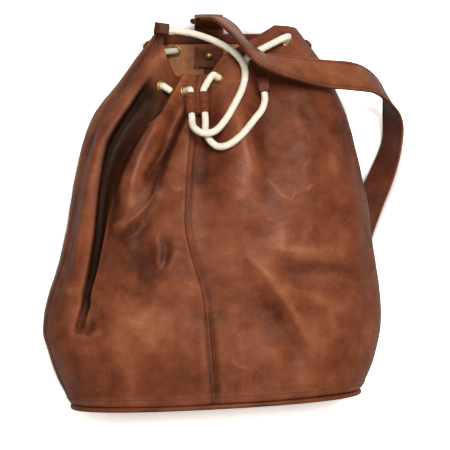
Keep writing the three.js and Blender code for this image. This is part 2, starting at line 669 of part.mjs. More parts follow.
// Shoulder strap: its way from the ring over the mouth and down the right side to the base
const LAYERS_MIDDLE = LAYER_GAP + STRAP_LINING + LAYER_GAP / 2;
const strapUp = vec(0, -0.15, 1).normalize();
const strapOut = vec(0, 1, 0.15).normalize();
const strapStart = upperBar.clone().addScaledVector(strapUp, STRAP_START);
const station = (x, y, z, nx, ny, nz) => ({ point: vec(x, y, z), normal: vec(nx, ny, nz).normalize() });
const strapEnd = [0.15, 0.11, 0.072, 0.03].map((share) => {
  const { point, normal } = shellFrame(STRAP_END_ANGLE, share);
  return { point: point.addScaledVector(normal, LAYERS_MIDDLE), normal };
});
const strapWay = [
  { point: strapStart, normal: strapOut },
  station(TAB_X + 5, RIM_Y + 8, RIM_FRONT_Z - 16, 0.08, 0.97, 0.22),
  station(TAB_X + 18, RIM_Y, RIM_FRONT_Z + 4, 0.4, 0.88, 0.25),
  station(TAB_X + 34, RIM_Y - 20, RIM_FRONT_Z + 26, 0.62, 0.72, 0.27),
  station(TAB_X + 52, RIM_Y - 39, RIM_FRONT_Z + 39, 0.42, 0.82, 0.4),
  station(RIM_RIGHT - 34, RIM_Y - 46, RIM_FRONT_Z + 40, 0.3, 0.77, 0.56),
  station(RIM_RIGHT - 10, RIM_Y - 51, RIM_FRONT_Z + 32, 0.12, 0.58, 0.8),
  station(NECK_RIGHT - 8, RIM_Y - 55, RIM_FRONT_Z + 14, 0.24, 0.3, 0.92),
  station(NECK_RIGHT + 22, RIM_Y - 56, RIM_FRONT_Z, 0.42, 0.22, 0.86),
  station(SHOULDER_RIGHT + 27, RIM_Y - 60, 74, 0.72, 0.48, 0.5),
  station(SHOULDER_RIGHT + 46, RIM_Y - 74, 48, 0.95, 0.3, -0.05),
  station(SHOULDER_RIGHT + 55, RIM_Y - 97, 32, 0.82, 0.05, -0.57),
  station(SHOULDER_RIGHT + 55, RIM_Y - 126, 22, 0.8, -0.05, -0.6),
  station(WAIST_RIGHT + 20, RIM_Y - 159, 15.5, 0.6, -0.1, -0.8),
  station(WAIST_RIGHT + 6, RIM_Y - 193, 10, 0.36, -0.1, -0.93),
  station(WAIST_RIGHT - 7, RIM_Y - 230, 7.2, 0.1, -0.03, -1),
  station(BULGE_RIGHT - 26, RIM_Y - 267, 7, 0.06, 0.02, -1),
  station(BULGE_RIGHT - 26, RIM_Y - 303, 11.5, 0.3, 0.05, -0.95),
  ...strapEnd,
];
function smoothWay(way, perSpan) {
  const points = new THREE.CatmullRomCurve3(way.map((s) => s.point), false, 'catmullrom', 0.5);
  const normals = new THREE.CatmullRomCurve3(way.map((s) => s.normal), false, 'catmullrom', 0.5);
  return range(0, 1, (way.length - 1) * perSpan).map((t) => ({
    point: points.getPoint(t), normal: normals.getPoint(t).normalize(),
  }));
}
const strapLine = smoothWay(strapWay, 2);
const offset = (stations, distance) => stations.map(({ point, normal }) => ({
  point: point.clone().addScaledVector(normal, distance), normal,
}));
const strapLoop = fold(upperBar, strapUp, strapOut, RING_WIRE / 2 + RING_SLACK, STRAP_FACE, LAYER_GAP,
  STRAP_INNER_LEG, STRAP_OUTER_LEG);
const faceLow = LAYER_GAP / 2;
const faceHigh = LAYER_GAP / 2 + STRAP_FACE;
const faceLine = [...offset(strapLoop.slice(0, -1), -(faceLow + faceHigh) / 2), ...strapLine];
addLayer('strap_face', ribbon(frames(faceLine), STRAP_WIDTH, faceLow, faceHigh));
addLayer('strap_lining', ribbon(frames(strapLine).slice(1), STRAP_WIDTH,
  -LAYER_GAP / 2 - STRAP_LINING, -LAYER_GAP / 2));

// Rivets, from the outside of the stack to its inside
function rivet(name, place, top, foot) {
  const head = top + LAYER_GAP;
  const burr = foot - LAYER_GAP;
  addPlaced(name, turned([
    [0, burr - RIVET_BURR_HEIGHT], [RIVET_BURR, burr - RIVET_BURR_HEIGHT], [RIVET_BURR, burr],
    [RIVET_SHANK, burr], [RIVET_SHANK, head], [RIVET_HEAD, head],
    [RIVET_HEAD * 0.75, head + RIVET_HEAD_HEIGHT * 0.75], [0, head + RIVET_HEAD_HEIGHT]], 10), 'brass', place);
}
STRAP_RIVET_SHARES.forEach((share, k) => {
  const seat = shellFrame(STRAP_END_ANGLE, share);
  const place = placement(seat.point, seat.normal, seat.along);
  drill(['back_panel', 'strap_face', 'strap_lining'], place, RIVET_SHANK + RIVET_HOLE_CLEARANCE,
    -DRILL_REACH, DRILL_REACH);
  drill(['back_panel'], place, RIVET_HEAD, -DRILL_REACH, -LEATHER);
  rivet(`strap_rivet_${k + 1}`, place, 2 * LAYER_GAP + STRAP_LINING + STRAP_FACE, -LEATHER);
});

// Key holder inside the back: patch, hanging loop and ring
const patchSeat = wall(PATCH_BELOW_RIM);
const inward = patchSeat.normal.clone().negate();
const patchLift = LEATHER + 2 * LAYER_GAP + KEY_LOOP_LEATHER;
addLayer('key_patch', ribbon(frames([-1, 1].map((side) => ({
  point: patchSeat.point.clone().addScaledVector(patchSeat.along, side * PATCH_LENGTH / 2),
  normal: inward,
}))), PATCH_WIDTH, patchLift, patchLift + PATCH_LEATHER));
const patchPlace = placement(patchSeat.point, inward, patchSeat.along);
drill(['key_patch', 'back_panel', 'back_tab'], patchPlace, RIVET_SHANK + RIVET_HOLE_CLEARANCE,
  -DRILL_REACH, DRILL_REACH);
const tabBack = rim.point.clone().sub(patchSeat.point).dot(patchSeat.normal) + TAB_SEAT
  + 2 * LAYER_GAP + 2 * TAB_LEATHER;
rivet('tab_rivet', patchPlace, patchLift + PATCH_LEATHER, -tabBack);

const keySeat = wall(KEY_BAR_BELOW_RIM);
const keyIn = keySeat.normal.clone().negate();
const keyHollow = KEY_WIRE / 2 + LAYER_GAP;
const keyBar = keySeat.point.clone()
  .addScaledVector(keyIn, LEATHER + LAYER_GAP + KEY_LOOP_LEATHER + keyHollow);
const keyFold = fold(keyBar, keySeat.along, keyIn, keyHollow, KEY_LOOP_LEATHER, LAYER_GAP,
  KEY_LOOP_TUCKED_LEG, KEY_LOOP_SHORT_LEG);
const legDrop = keyHollow - LAYER_GAP / 2;
keyFold.slice(0, 3).forEach((s, k) => s.point.addScaledVector(keyIn, k < 2 ? -legDrop : -legDrop * 0.4));
addLayer('key_loop', ribbon(frames(keyFold), KEY_LOOP_WIDTH, -KEY_LOOP_LEATHER / 2, KEY_LOOP_LEATHER / 2));
const keyHalf = (KEY_RING_WIDTH - KEY_WIRE) / 2;
const keyOutline = [
  ...range(-keyHalf * 0.8, keyHalf * 0.8, 2).map((x) => new THREE.Vector2(x, 0)),
  ...range(0, 180, 10).map((degrees) => new THREE.Vector2(keyHalf * Math.cos(radians(degrees)),
    (KEY_RING_LENGTH - KEY_WIRE) * (0.12 + 0.88 * Math.sin(radians(degrees))))),
];
addPlaced('key_ring', loop(keyOutline, ring(KEY_WIRE / 2, 6)), 'brass',
  placement(keyBar, vec(1, 0, 0).cross(keySeat.along.clone().negate()), vec(1, 0, 0)));

// Cord stopper over the front fold
const channel = CORD_DIAMETER / 2 + CORD_CLEARANCE;
const stopperRadius = channel + STOPPER_WALL;
const overFold = ({ x, y }) => Math.max(...[-16, -10, -5, 0, 5, 10, 16].map((d) => frontHeight(x + d, y)));
const stopperTop = vec(STOPPER_TOP.x, STOPPER_TOP.y, overFold(STOPPER_TOP) + stopperRadius + LIE_CLEARANCE);
const stopperFoot = vec(STOPPER_FOOT.x, STOPPER_FOOT.y,
  overFold(STOPPER_FOOT) + stopperRadius + LIE_CLEARANCE);
const slideWay = stopperFoot.clone().sub(stopperTop).normalize();
const stopperSide = vec(0, 0, 1).cross(slideWay).normalize();
function stopperShape() {
  const shape = new THREE.Shape();
  const half = STOPPER_PITCH / 2;
  const waist = 50;
  shape.absarc(half, 0, stopperRadius, radians(-180 + waist), radians(180 - waist), false);
  shape.absarc(-half, 0, stopperRadius, radians(waist), radians(360 - waist), false);
  for (const x of [-half, half]) {
    const hole = new THREE.Path();
    hole.absarc(x, 0, channel, 0, 2 * Math.PI, true);
    shape.holes.push(hole);
  }
  return shape;
}
addPlaced('cord_stopper', outward(new THREE.ExtrudeGeometry(stopperShape(),
  { depth: STOPPER_LENGTH, bevelEnabled: false, curveSegments: 8 })), 'leather',
placement(stopperTop, slideWay, stopperSide));

// Drawcord: round the mouth through the eyelets, and its two free ends
const strand = (side, depth) => stopperTop.clone()
  .addScaledVector(stopperSide, side * STOPPER_PITCH / 2).addScaledVector(slideWay, depth);
const leftSide = stopperSide.x < 0 ? 1 : -1;
const reach = (k, side) => {
  const other = eyelets[(k + (side === (k % 2 === 0) ? -1 : 1) + eyelets.length) % eyelets.length];
  return other.point.distanceTo(eyelets[k].point);
};
const through = (k) => {
  const { point, normal } = eyelets[k];
  const outside = reach(k, true) > 30 ? [9, 5] : [3];
  const inside = reach(k, false) > 30 ? [-LEATHER - 5, -LEATHER - 9] : [-LEATHER - 3];
  const way = [...outside, -LEATHER / 2, ...inside].map((d) => point.clone().addScaledVector(normal, d));
  return k % 2 === 0 ? way : way.reverse();
};
const underTab = [-20, 20].map((dx) => {
  const seat = wall(9);
  return seat.point.clone().add(vec(dx, 0, 0)).addScaledVector(seat.normal,
    2 * LAYER_GAP + 2 * TAB_LEATHER + CORD_DIAMETER / 2 + 1);
});
const split = STOPPER_LENGTH / 2;
const mouthWay = [split, -SLIDE_BACK, -SLIDE_BACK - STRAIGHT_IN].map((depth) => strand(leftSide, depth));
for (let k = 0; k < eyelets.length; k += 1) {
  mouthWay.push(...through(k));
  if (k === 5) mouthWay.push(...underTab);
}
mouthWay.push(...[-SLIDE_BACK - STRAIGHT_IN, -SLIDE_BACK, split].map((depth) => strand(-leftSide, depth)));
addMesh('drawcord_mouth', tube(mouthWay, CORD_DIAMETER, 116), 'cotton');

const LEFT_END = [
  [-19.3, 89.6, 135.6], [-10.3, 84.4, 140.6], [1.2, 86.3, 141.4], [11.7, 97.3, 137.6], [22.7, 116.2, 131],
  [30.1, 132.1, 124], [33.3, 148, 116], [31.2, 160, 112], [22.7, 171.3, 111], [1.3, 186, 97],
  [-20.8, 195, 88.5], [-39, 198.3, 88], [-58, 200.5, 90.5],
];
const RIGHT_END = [
  [-8, 86.5, 131.4], [-3.5, 77, 135.2], [4.5, 70.8, 139.8], [14, 71.5, 142.5],
  [28, 81.2, 141.3], [42.5, 99, 130], [51.5, 111.5, 124], [54, 121, 122], [53.3, 130, 120.5], [52.6, 138.5, 119.5],
];
function freeEnd(side, route, steps, name, capName) {
  const points = route.map((p) => vec(...p));
  const straight = STOPPER_LENGTH + SLIDE_REACH + STRAIGHT_OUT;
  const way = [split + LAYER_GAP, STOPPER_LENGTH, straight - STRAIGHT_OUT, straight]
    .map((depth) => strand(side, depth)).concat(points);
  addMesh(name, tube(way, CORD_DIAMETER, steps), 'cotton');
  const last = points[points.length - 1];
  const run = last.clone().sub(points[points.length - 2]).normalize();
  const block = new THREE.BoxGeometry(CAP_WIDTH, CAP_WIDTH * 0.9, CAP_LENGTH).translate(0, 0, CAP_LENGTH / 2);
  const bore = new THREE.CylinderGeometry(channel, channel, CAP_BORE_DEPTH + 4, 12).rotateX(Math.PI / 2)
    .translate(0, 0, (CAP_BORE_DEPTH - 4) / 2);
  const cap = fromSolid(solid(block).subtract(solid(bore)));
  const back = last.clone().addScaledVector(run, LAYER_GAP - CAP_BORE_DEPTH);
  addPlaced(capName, cap, 'leather', placement(back, run, vec(0, 0, 1).cross(run)));
}
freeEnd(leftSide, LEFT_END, 38, 'drawcord_end_left', 'cord_cap_left');
freeEnd(-leftSide, RIGHT_END, 30, 'drawcord_end_right', 'cord_cap_right');

for (const [name, shape] of layers) {
  addMesh(name, fromSolid(shape), name === 'rim_facing' ? 'suede' : 'leather');
}

export default part;
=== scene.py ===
"""Drawstring duffle backpack in brown waxed leather, lying on its back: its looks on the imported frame.

Shapes are worked out in millimetres in the row frame (X across the bag, Y from base to mouth, Z up) and
turned into metres where a mesh is made.
"""
from __future__ import annotations

import json
import logging
import math
from dataclasses import dataclass, field
from enum import Enum
from typing import Callable

import bmesh
import bpy
import numpy as np
from mathutils import Matrix, Vector, noise

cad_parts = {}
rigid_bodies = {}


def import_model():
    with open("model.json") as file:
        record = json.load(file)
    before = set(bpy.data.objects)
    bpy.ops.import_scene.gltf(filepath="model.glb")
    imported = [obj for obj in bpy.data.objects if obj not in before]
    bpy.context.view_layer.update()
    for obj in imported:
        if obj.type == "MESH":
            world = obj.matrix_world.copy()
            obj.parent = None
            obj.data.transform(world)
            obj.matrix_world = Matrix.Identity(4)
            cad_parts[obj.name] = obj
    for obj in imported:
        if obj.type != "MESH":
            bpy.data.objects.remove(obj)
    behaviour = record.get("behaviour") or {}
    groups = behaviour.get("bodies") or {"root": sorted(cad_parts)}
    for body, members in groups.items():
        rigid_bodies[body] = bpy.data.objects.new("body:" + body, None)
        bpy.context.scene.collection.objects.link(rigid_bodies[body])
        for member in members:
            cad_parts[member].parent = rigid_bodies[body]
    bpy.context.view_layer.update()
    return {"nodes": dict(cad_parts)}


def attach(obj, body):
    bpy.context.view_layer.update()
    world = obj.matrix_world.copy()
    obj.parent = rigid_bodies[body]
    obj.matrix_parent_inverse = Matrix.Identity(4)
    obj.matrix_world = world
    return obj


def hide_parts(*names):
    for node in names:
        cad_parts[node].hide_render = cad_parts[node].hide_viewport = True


LOG = logging.getLogger("backpack")
MM = 0.001
Array = np.ndarray


class Body(str, Enum):
    """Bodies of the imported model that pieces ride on."""

    BAG = "bag"
    STOPPER = "stopper"
    KEY_RING = "key_ring"
    STRAP_RING = "strap_ring"


class Slot(str, Enum):
    """Material slots of the record."""

    LEATHER = "leather"
    SUEDE = "suede"
    STRAP_LINING = "strap_lining"
    CORD = "cotton_cord"
    BRASS = "brass"
    DARK_METAL = "dark_metal"
    BRIGHT_METAL = "bright_metal"
    BOARD = "board"


# Small helpers for shapes


def bump(t: Array) -> Array:
    """Raised cosine: 1 at 0, falling smoothly to 0 at -1 and 1."""
    return np.where(np.abs(t) < 1, 0.5 + 0.5 * np.cos(np.pi * np.clip(t, -1, 1)), 0.0)


def smooth(low: float, high: float, t: Array) -> Array:
    """Smooth step from 0 at low to 1 at high."""
    share = np.clip((t - low) / (high - low), 0, 1)
    return share * share * (3 - 2 * share)


def turn(angle: Array) -> Array:
    """Angle in degrees brought between -180 and 180."""
    return (angle + 180) % 360 - 180


def unit(vectors: Array) -> Array:
    """Vectors scaled to length 1."""
    return vectors / np.maximum(np.linalg.norm(vectors, axis=-1, keepdims=True), 1e-9)


def vec(*values: float) -> Array:
    """Array of floats from its values."""
    return np.array(values, float)


@dataclass(frozen=True)
class Profile:
    """Smooth curve through stops of (share, size) that never overshoots them."""

    stops: tuple[tuple[float, float], ...]

    def __call__(self, share: Array) -> Array:
        """Sizes of the curve at shares."""
        t = np.array([stop[0] for stop in self.stops])
        y = np.array([stop[1] for stop in self.stops])
        rise = np.diff(y) / np.diff(t)
        product = rise[:-1] * rise[1:]
        total = rise[:-1] + rise[1:]
        inner = np.where(product > 0, 2 * product / np.where(total == 0, 1, total), 0)
        slope = np.concatenate([rise[:1], inner, rise[-1:]])
        share = np.asarray(share, float)
        k = np.clip(np.searchsorted(t, share) - 1, 0, len(t) - 2)
        span = t[k + 1] - t[k]
        s = (share - t[k]) / span
        u = 1 - s
        return ((1 + 2 * s) * u * u * y[k] + s * u * u * span * slope[k]
                + s * s * (3 - 2 * s) * y[k + 1] - s * s * u * span * slope[k + 1])


def spline(points: Array, per_span: int, centripetal: bool = True) -> Array:
    """Catmull-Rom curve through points.

    Args:
        points: route points, one a row.
        per_span: samples in each span.
        centripetal: knots spaced by the root of the distance, or else evenly with half tension.

    Returns:
        The sampled points, ends included.
    """
    p = np.vstack([2 * points[0] - points[1], points, 2 * points[-1] - points[-2]])
    samples = []
    for k in range(1, len(p) - 2):
        p0, p1, p2, p3 = p[k - 1:k + 3]
        if centripetal:
            d0, d1, d2 = (max(math.sqrt(np.linalg.norm(b - a)), 1e-3) for a, b in ((p0, p1), (p1, p2), (p2, p3)))
            t1 = d1 * ((p1 - p0) / d0 - (p2 - p0) / (d0 + d1) + (p2 - p1) / d1)
            t2 = d1 * ((p2 - p1) / d1 - (p3 - p1) / (d1 + d2) + (p3 - p2) / d2)
        else:
            t1 = (p2 - p0) / 2
            t2 = (p3 - p1) / 2
        s = np.linspace(0, 1, per_span, endpoint=False)[:, None]
        samples.append(p1 + t1 * s + (3 * (p2 - p1) - 2 * t1 - t2) * s ** 2 + (2 * (p1 - p2) + t1 + t2) * s ** 3)
    return np.vstack(samples + [points[-1:]])


def resample(points: Array, pitch: float, extra: Array | None = None) -> tuple[Array, Array | None]:
    """Points spaced evenly along a line, with another row of values carried along."""
    steps = np.linalg.norm(np.diff(points, axis=0), axis=1)
    along = np.concatenate([[0], np.cumsum(steps)])
    count = max(int(round(along[-1] / pitch)), 2)
    at = np.linspace(0, along[-1], count + 1)
    line = np.stack([np.interp(at, along, points[:, k]) for k in range(3)], axis=1)
    if extra is None:
        return line, None
    return line, np.stack([np.interp(at, along, extra[:, k]) for k in range(3)], axis=1)


def tangents(points: Array) -> Array:
    """Directions along a line of points."""
    return unit(np.gradient(points, axis=0))


# Small helpers for meshes


def only(obj: bpy.types.Object) -> bpy.types.Object:
    """Selects this object alone and makes it active."""
    bpy.ops.object.select_all(action="DESELECT")
    obj.select_set(True)
    bpy.context.view_layer.objects.active = obj
    return obj


def grid(name: str, columns: int, rows: int) -> tuple[bpy.types.Object, Array, Array]:
    """Grid primitive to be shaped by a formula.

    Returns:
        The object, and each corner's place across and along the grid, from 0 to 1.
    """
    bpy.ops.mesh.primitive_grid_add(x_subdivisions=columns, y_subdivisions=rows, size=1)
    obj = bpy.context.active_object
    obj.name = name
    obj.data.name = name
    corners = np.empty(len(obj.data.vertices) * 3)
    obj.data.vertices.foreach_get("co", corners)
    corners = corners.reshape(-1, 3)
    return obj, np.clip(corners[:, 0] + 0.5, 0, 1), np.clip(corners[:, 1] + 0.5, 0, 1)


def shape(obj: bpy.types.Object, points: Array) -> None:
    """Moves the corners of a mesh to points in millimetres."""
    obj.data.vertices.foreach_set("co", (points * MM).ravel())
    obj.data.update()


def paint(obj: bpy.types.Object, name: str, values: Array) -> None:
    """Stores a value for each corner, to be read by a material."""
    layer = obj.data.attributes.new(name, "FLOAT", "POINT")
    layer.data.foreach_set("value", np.asarray(values, np.float32))


def apply_all(obj: bpy.types.Object) -> bpy.types.Object:
    """Applies every modifier of an object."""
    only(obj)
    for modifier in list(obj.modifiers):
        bpy.ops.object.modifier_apply(modifier=modifier.name)
    return obj


def weld(obj: bpy.types.Object) -> bpy.types.Object:
    """Merges corners that lie on each other and shades smooth."""
    only(obj)
    bpy.ops.object.mode_set(mode="EDIT")
    bpy.ops.mesh.select_all(action="SELECT")
    bpy.ops.mesh.remove_doubles(threshold=1e-6)
    bpy.ops.object.mode_set(mode="OBJECT")
    bpy.ops.object.shade_smooth()
    return obj


def join(name: str, objects: list[bpy.types.Object]) -> bpy.types.Object:
    """Joins objects into the first one."""
    only(objects[0])
    for obj in objects[1:]:
        obj.select_set(True)
    bpy.ops.object.join()
    objects[0].name = name
    return objects[0]


def place(obj: bpy.types.Object, matrix: Matrix) -> bpy.types.Object:
    """Puts the placement of an object into its mesh."""
    obj.data.transform(matrix @ obj.matrix_world)
    obj.matrix_world = Matrix.Identity(4)
    obj.data.update()
    return obj


def basis(point: Array, x: Array, y: Array, z: Array) -> Matrix:
    """Placement in metres from a point and three directions in millimetres."""
    matrix = Matrix([vec(*x), vec(*y), vec(*z)]).transposed().to_4x4()
    matrix.translation = Vector(point * MM)
    return matrix


def sweep(name: str, line: Array, across: Array, up: Array, section: Array, scale: Array | None = None,
          closed: bool = False, paints: dict[str, Array] | None = None) -> bpy.types.Object:
    """Skin of a closed section carried along a line.

    Args:
        name: name of the object.
        line: points along the way.
        across: direction of the section's first axis at each point.
        up: direction of the section's second axis at each point.
        section: the section's corners, anticlockwise, for each point or for all.
        scale: size of the section at each point.
        closed: whether the line ends where it starts.
        paints: values to store, by name, for each point of the line and corner of the section.

    Returns:
        The skin, welded and smooth.
    """
    paints = dict(paints or {})
    if section.ndim == 2:
        section = np.repeat(section[None], len(line), axis=0)
    if scale is not None:
        section = section * scale[:, None, None]
    if not closed:
        middle = section.mean(axis=1, keepdims=True)
        line, across, up = (np.concatenate([a[:1], a, a[-1:]]) for a in (line, across, up))
        flat = [np.repeat(end, section.shape[1], axis=1) for end in (middle[:1], middle[-1:])]
        section = np.concatenate([flat[0], section, flat[1]])
        paints = {key: np.concatenate([value[:1], value, value[-1:]]) for key, value in paints.items()}
    section = np.concatenate([section, section[:, :1]], axis=1)
    rows, columns = section.shape[:2]
    obj, u, v = grid(name, columns - 1, rows - 1)
    i = np.rint(v * (rows - 1)).astype(int)
    j = np.rint(u * (columns - 1)).astype(int)
    shape(obj, line[i] + across[i] * section[i, j, :1] + up[i] * section[i, j, 1:])
    for key, value in paints.items():
        paint(obj, key, value[i, j % (columns - 1)])
    return weld(obj)


def carried_frame(line: Array) -> tuple[Array, Array]:
    """Two directions square to a line that turn as little as possible along it."""
    run = tangents(line)
    first = np.cross(run[0], [0, 0, 1])
    if np.linalg.norm(first) < 0.1:
        first = np.cross(run[0], [0, 1, 0])
    across = [first / np.linalg.norm(first)]
    for k in range(1, len(line)):
        side = across[-1] - run[k] * np.dot(across[-1], run[k])
        across.append(side / np.linalg.norm(side))
    across = np.array(across)
    return across, np.cross(run, across)


def band_section(width: float, low: float, high: float, crown: float, stitch_inset: float,
                 count: int = 44) -> Array:
    """Section of a leather band: soft edges, crowned, pressed in along its stitches."""
    angle = np.linspace(0, 2 * np.pi, count, endpoint=False)
    a = width / 2 * np.cos(angle)
    half = (high - low) / 2
    past = np.clip((np.abs(a) - (width / 2 - half)) / half, 0, 1)
    edge = np.sqrt(1 - 0.85 * past ** 2) * np.where(past > 0.999, 0, 1)
    pressed = 0.22 * np.exp(-((np.abs(a) - (width / 2 - stitch_inset)) / 1.1) ** 2)
    rise = half * edge + np.where(np.sin(angle) >= 0, crown * (1 - (2 * a / width) ** 2), 0) - pressed * edge
    return np.stack([a, (low + high) / 2 + np.sign(np.sin(angle)) * rise], axis=1)


def stitches(name: str, line: Array, normal: Array, pitch: float, thread: float) -> bpy.types.Object:
    """Row of stitches along a line, each a small bead of thread that dives in at its ends.

    Args:
        name: name of the object.
        line: points on the leather.
        normal: outward direction at each point.
        pitch: distance from stitch to stitch.
        thread: thickness of the thread.
    """
    line, normal = resample(line, pitch, normal)
    run = tangents(line)
    side = unit(np.cross(normal, run))
    normal = np.cross(run, side)
    template = bmesh.new()
    bmesh.ops.create_uvsphere(template, u_segments=6, v_segments=5, radius=0.5)
    corners = np.array([v.co for v in template.verts])
    faces = np.array([[v.index for v in f.verts] + [-1] * (4 - len(f.verts)) for f in template.faces])
    template.free()
    size = vec(thread, thread * 0.8, pitch * 0.66)
    local = corners * size
    points = (line[:, None] + side[:, None] * local[None, :, :1]
              + normal[:, None] * (local[None, :, 1:2] + thread * 0.1) + run[:, None] * local[None, :, 2:])
    count = len(corners)
    polygons = []
    for k in range(len(line)):
        polygons.extend([[int(c) + k * count for c in face if c >= 0] for face in faces])
    mesh = bpy.data.meshes.new(name)
    mesh.from_pydata((points.reshape(-1, 3) * MM).tolist(), [], polygons)
    obj = bpy.data.objects.new(name, mesh)
    bpy.context.scene.collection.objects.link(obj)
    only(obj)
    bpy.ops.object.mode_set(mode="EDIT")
    bpy.ops.mesh.select_all(action="SELECT")
    bpy.ops.mesh.normals_make_consistent(inside=False)
    bpy.ops.object.mode_set(mode="OBJECT")
    bpy.ops.object.shade_smooth()
    return obj


# Materials


class Kind(str, Enum):
    """Nodes that the materials, the sky and the table are made of."""

    ADD_SHADER = "ShaderNodeAddShader"
    ATTRIBUTE = "ShaderNodeAttribute"
    BACKGROUND = "ShaderNodeBackground"
    BUMP = "ShaderNodeBump"
    CLOSENESS = "ShaderNodeAmbientOcclusion"
    COLOUR_RAMP = "ShaderNodeValToRGB"
    DIFFUSE = "ShaderNodeBsdfDiffuse"
    EMISSION = "ShaderNodeEmission"
    GAMMA = "ShaderNodeGamma"
    LIGHT_PATH = "ShaderNodeLightPath"
    MAPPING = "ShaderNodeMapping"
    MAP_RANGE = "ShaderNodeMapRange"
    MATH = "ShaderNodeMath"
    MIX = "ShaderNodeMix"
    MIX_SHADER = "ShaderNodeMixShader"
    NOISE = "ShaderNodeTexNoise"
    OUTPUT = "ShaderNodeOutputMaterial"
    PLACE = "ShaderNodeTexCoord"
    PRINCIPLED = "ShaderNodeBsdfPrincipled"
    VORONOI = "ShaderNodeTexVoronoi"
    WORLD_OUTPUT = "ShaderNodeOutputWorld"


def linear(colour: str) -> tuple[float, float, float, float]:
    """Linear colour from an sRGB hex code."""
    parts = [int(colour[k:k + 2], 16) / 255 for k in (1, 3, 5)]
    return (*(c / 12.92 if c <= 0.04045 else ((c + 0.055) / 1.055) ** 2.4 for c in parts), 1.0)


def add_node(tree: bpy.types.NodeTree, kind: Kind, inputs: dict | None = None,
             stops: tuple[tuple[float, str], ...] = (), **settings) -> bpy.types.Node:
    """Adds a node with its settings and links.

    Args:
        tree: tree that gets the node.
        kind: kind of the node.
        inputs: for each socket a constant, a hex colour, a socket to link or a node whose first one is linked.
        stops: places and hex colours of a colour ramp.
        settings: the node's own settings.

    Returns:
        The node.
    """
    node = tree.nodes.new(kind.value)
    for name, value in settings.items():
        setattr(node, name, value)
    for key, value in (inputs or {}).items():
        if isinstance(value, bpy.types.Node):
            value = value.outputs[0]
        if isinstance(value, bpy.types.NodeSocket):
            tree.links.new(value, node.inputs[key])
        else:
            node.inputs[key].default_value = linear(value) if isinstance(value, str) else value
    for k, (at, colour) in enumerate(stops):
        elements = node.color_ramp.elements
        element = elements[k] if k < len(elements) else elements.new(at)
        element.position = at
        element.color = linear(colour)
    return node


@dataclass(frozen=True)
class Mottle:
    """Irregular pattern: the size of its forms in millimetres, and how fine, rough and bent they are."""

    size_mm: float
    detail: float
    roughness: float = 0.55
    distortion: float = 0.0

    def sockets(self, where: bpy.types.NodeSocket | bpy.types.Node) -> dict:
        """Inputs of a noise node with this pattern."""
        return {"Vector": where, "Scale": 1 / (self.size_mm * MM), "Detail": self.detail,
                "Roughness": self.roughness, "Distortion": self.distortion}


@dataclass(frozen=True)
class Finish:
    """A surface finish that makes its own material."""

    name: str
    roughness: float

    def start(self) -> tuple[bpy.types.Material, bpy.types.NodeTree, bpy.types.NodeSocket]:
        """New material, its empty tree and the place on the object in metres."""
        material = bpy.data.materials.new(self.name)
        material.use_nodes = True
        tree = material.node_tree
        tree.nodes.clear()
        return material, tree, add_node(tree, Kind.PLACE).outputs["Object"]

    def close(self, material: bpy.types.Material, inputs: dict) -> bpy.types.Material:
        """Adds the shader with its inputs, and the output."""
        tree = material.node_tree
        shader = add_node(tree, Kind.PRINCIPLED, {"Roughness": self.roughness, **inputs})
        add_node(tree, Kind.OUTPUT, {0: shader})
        return material


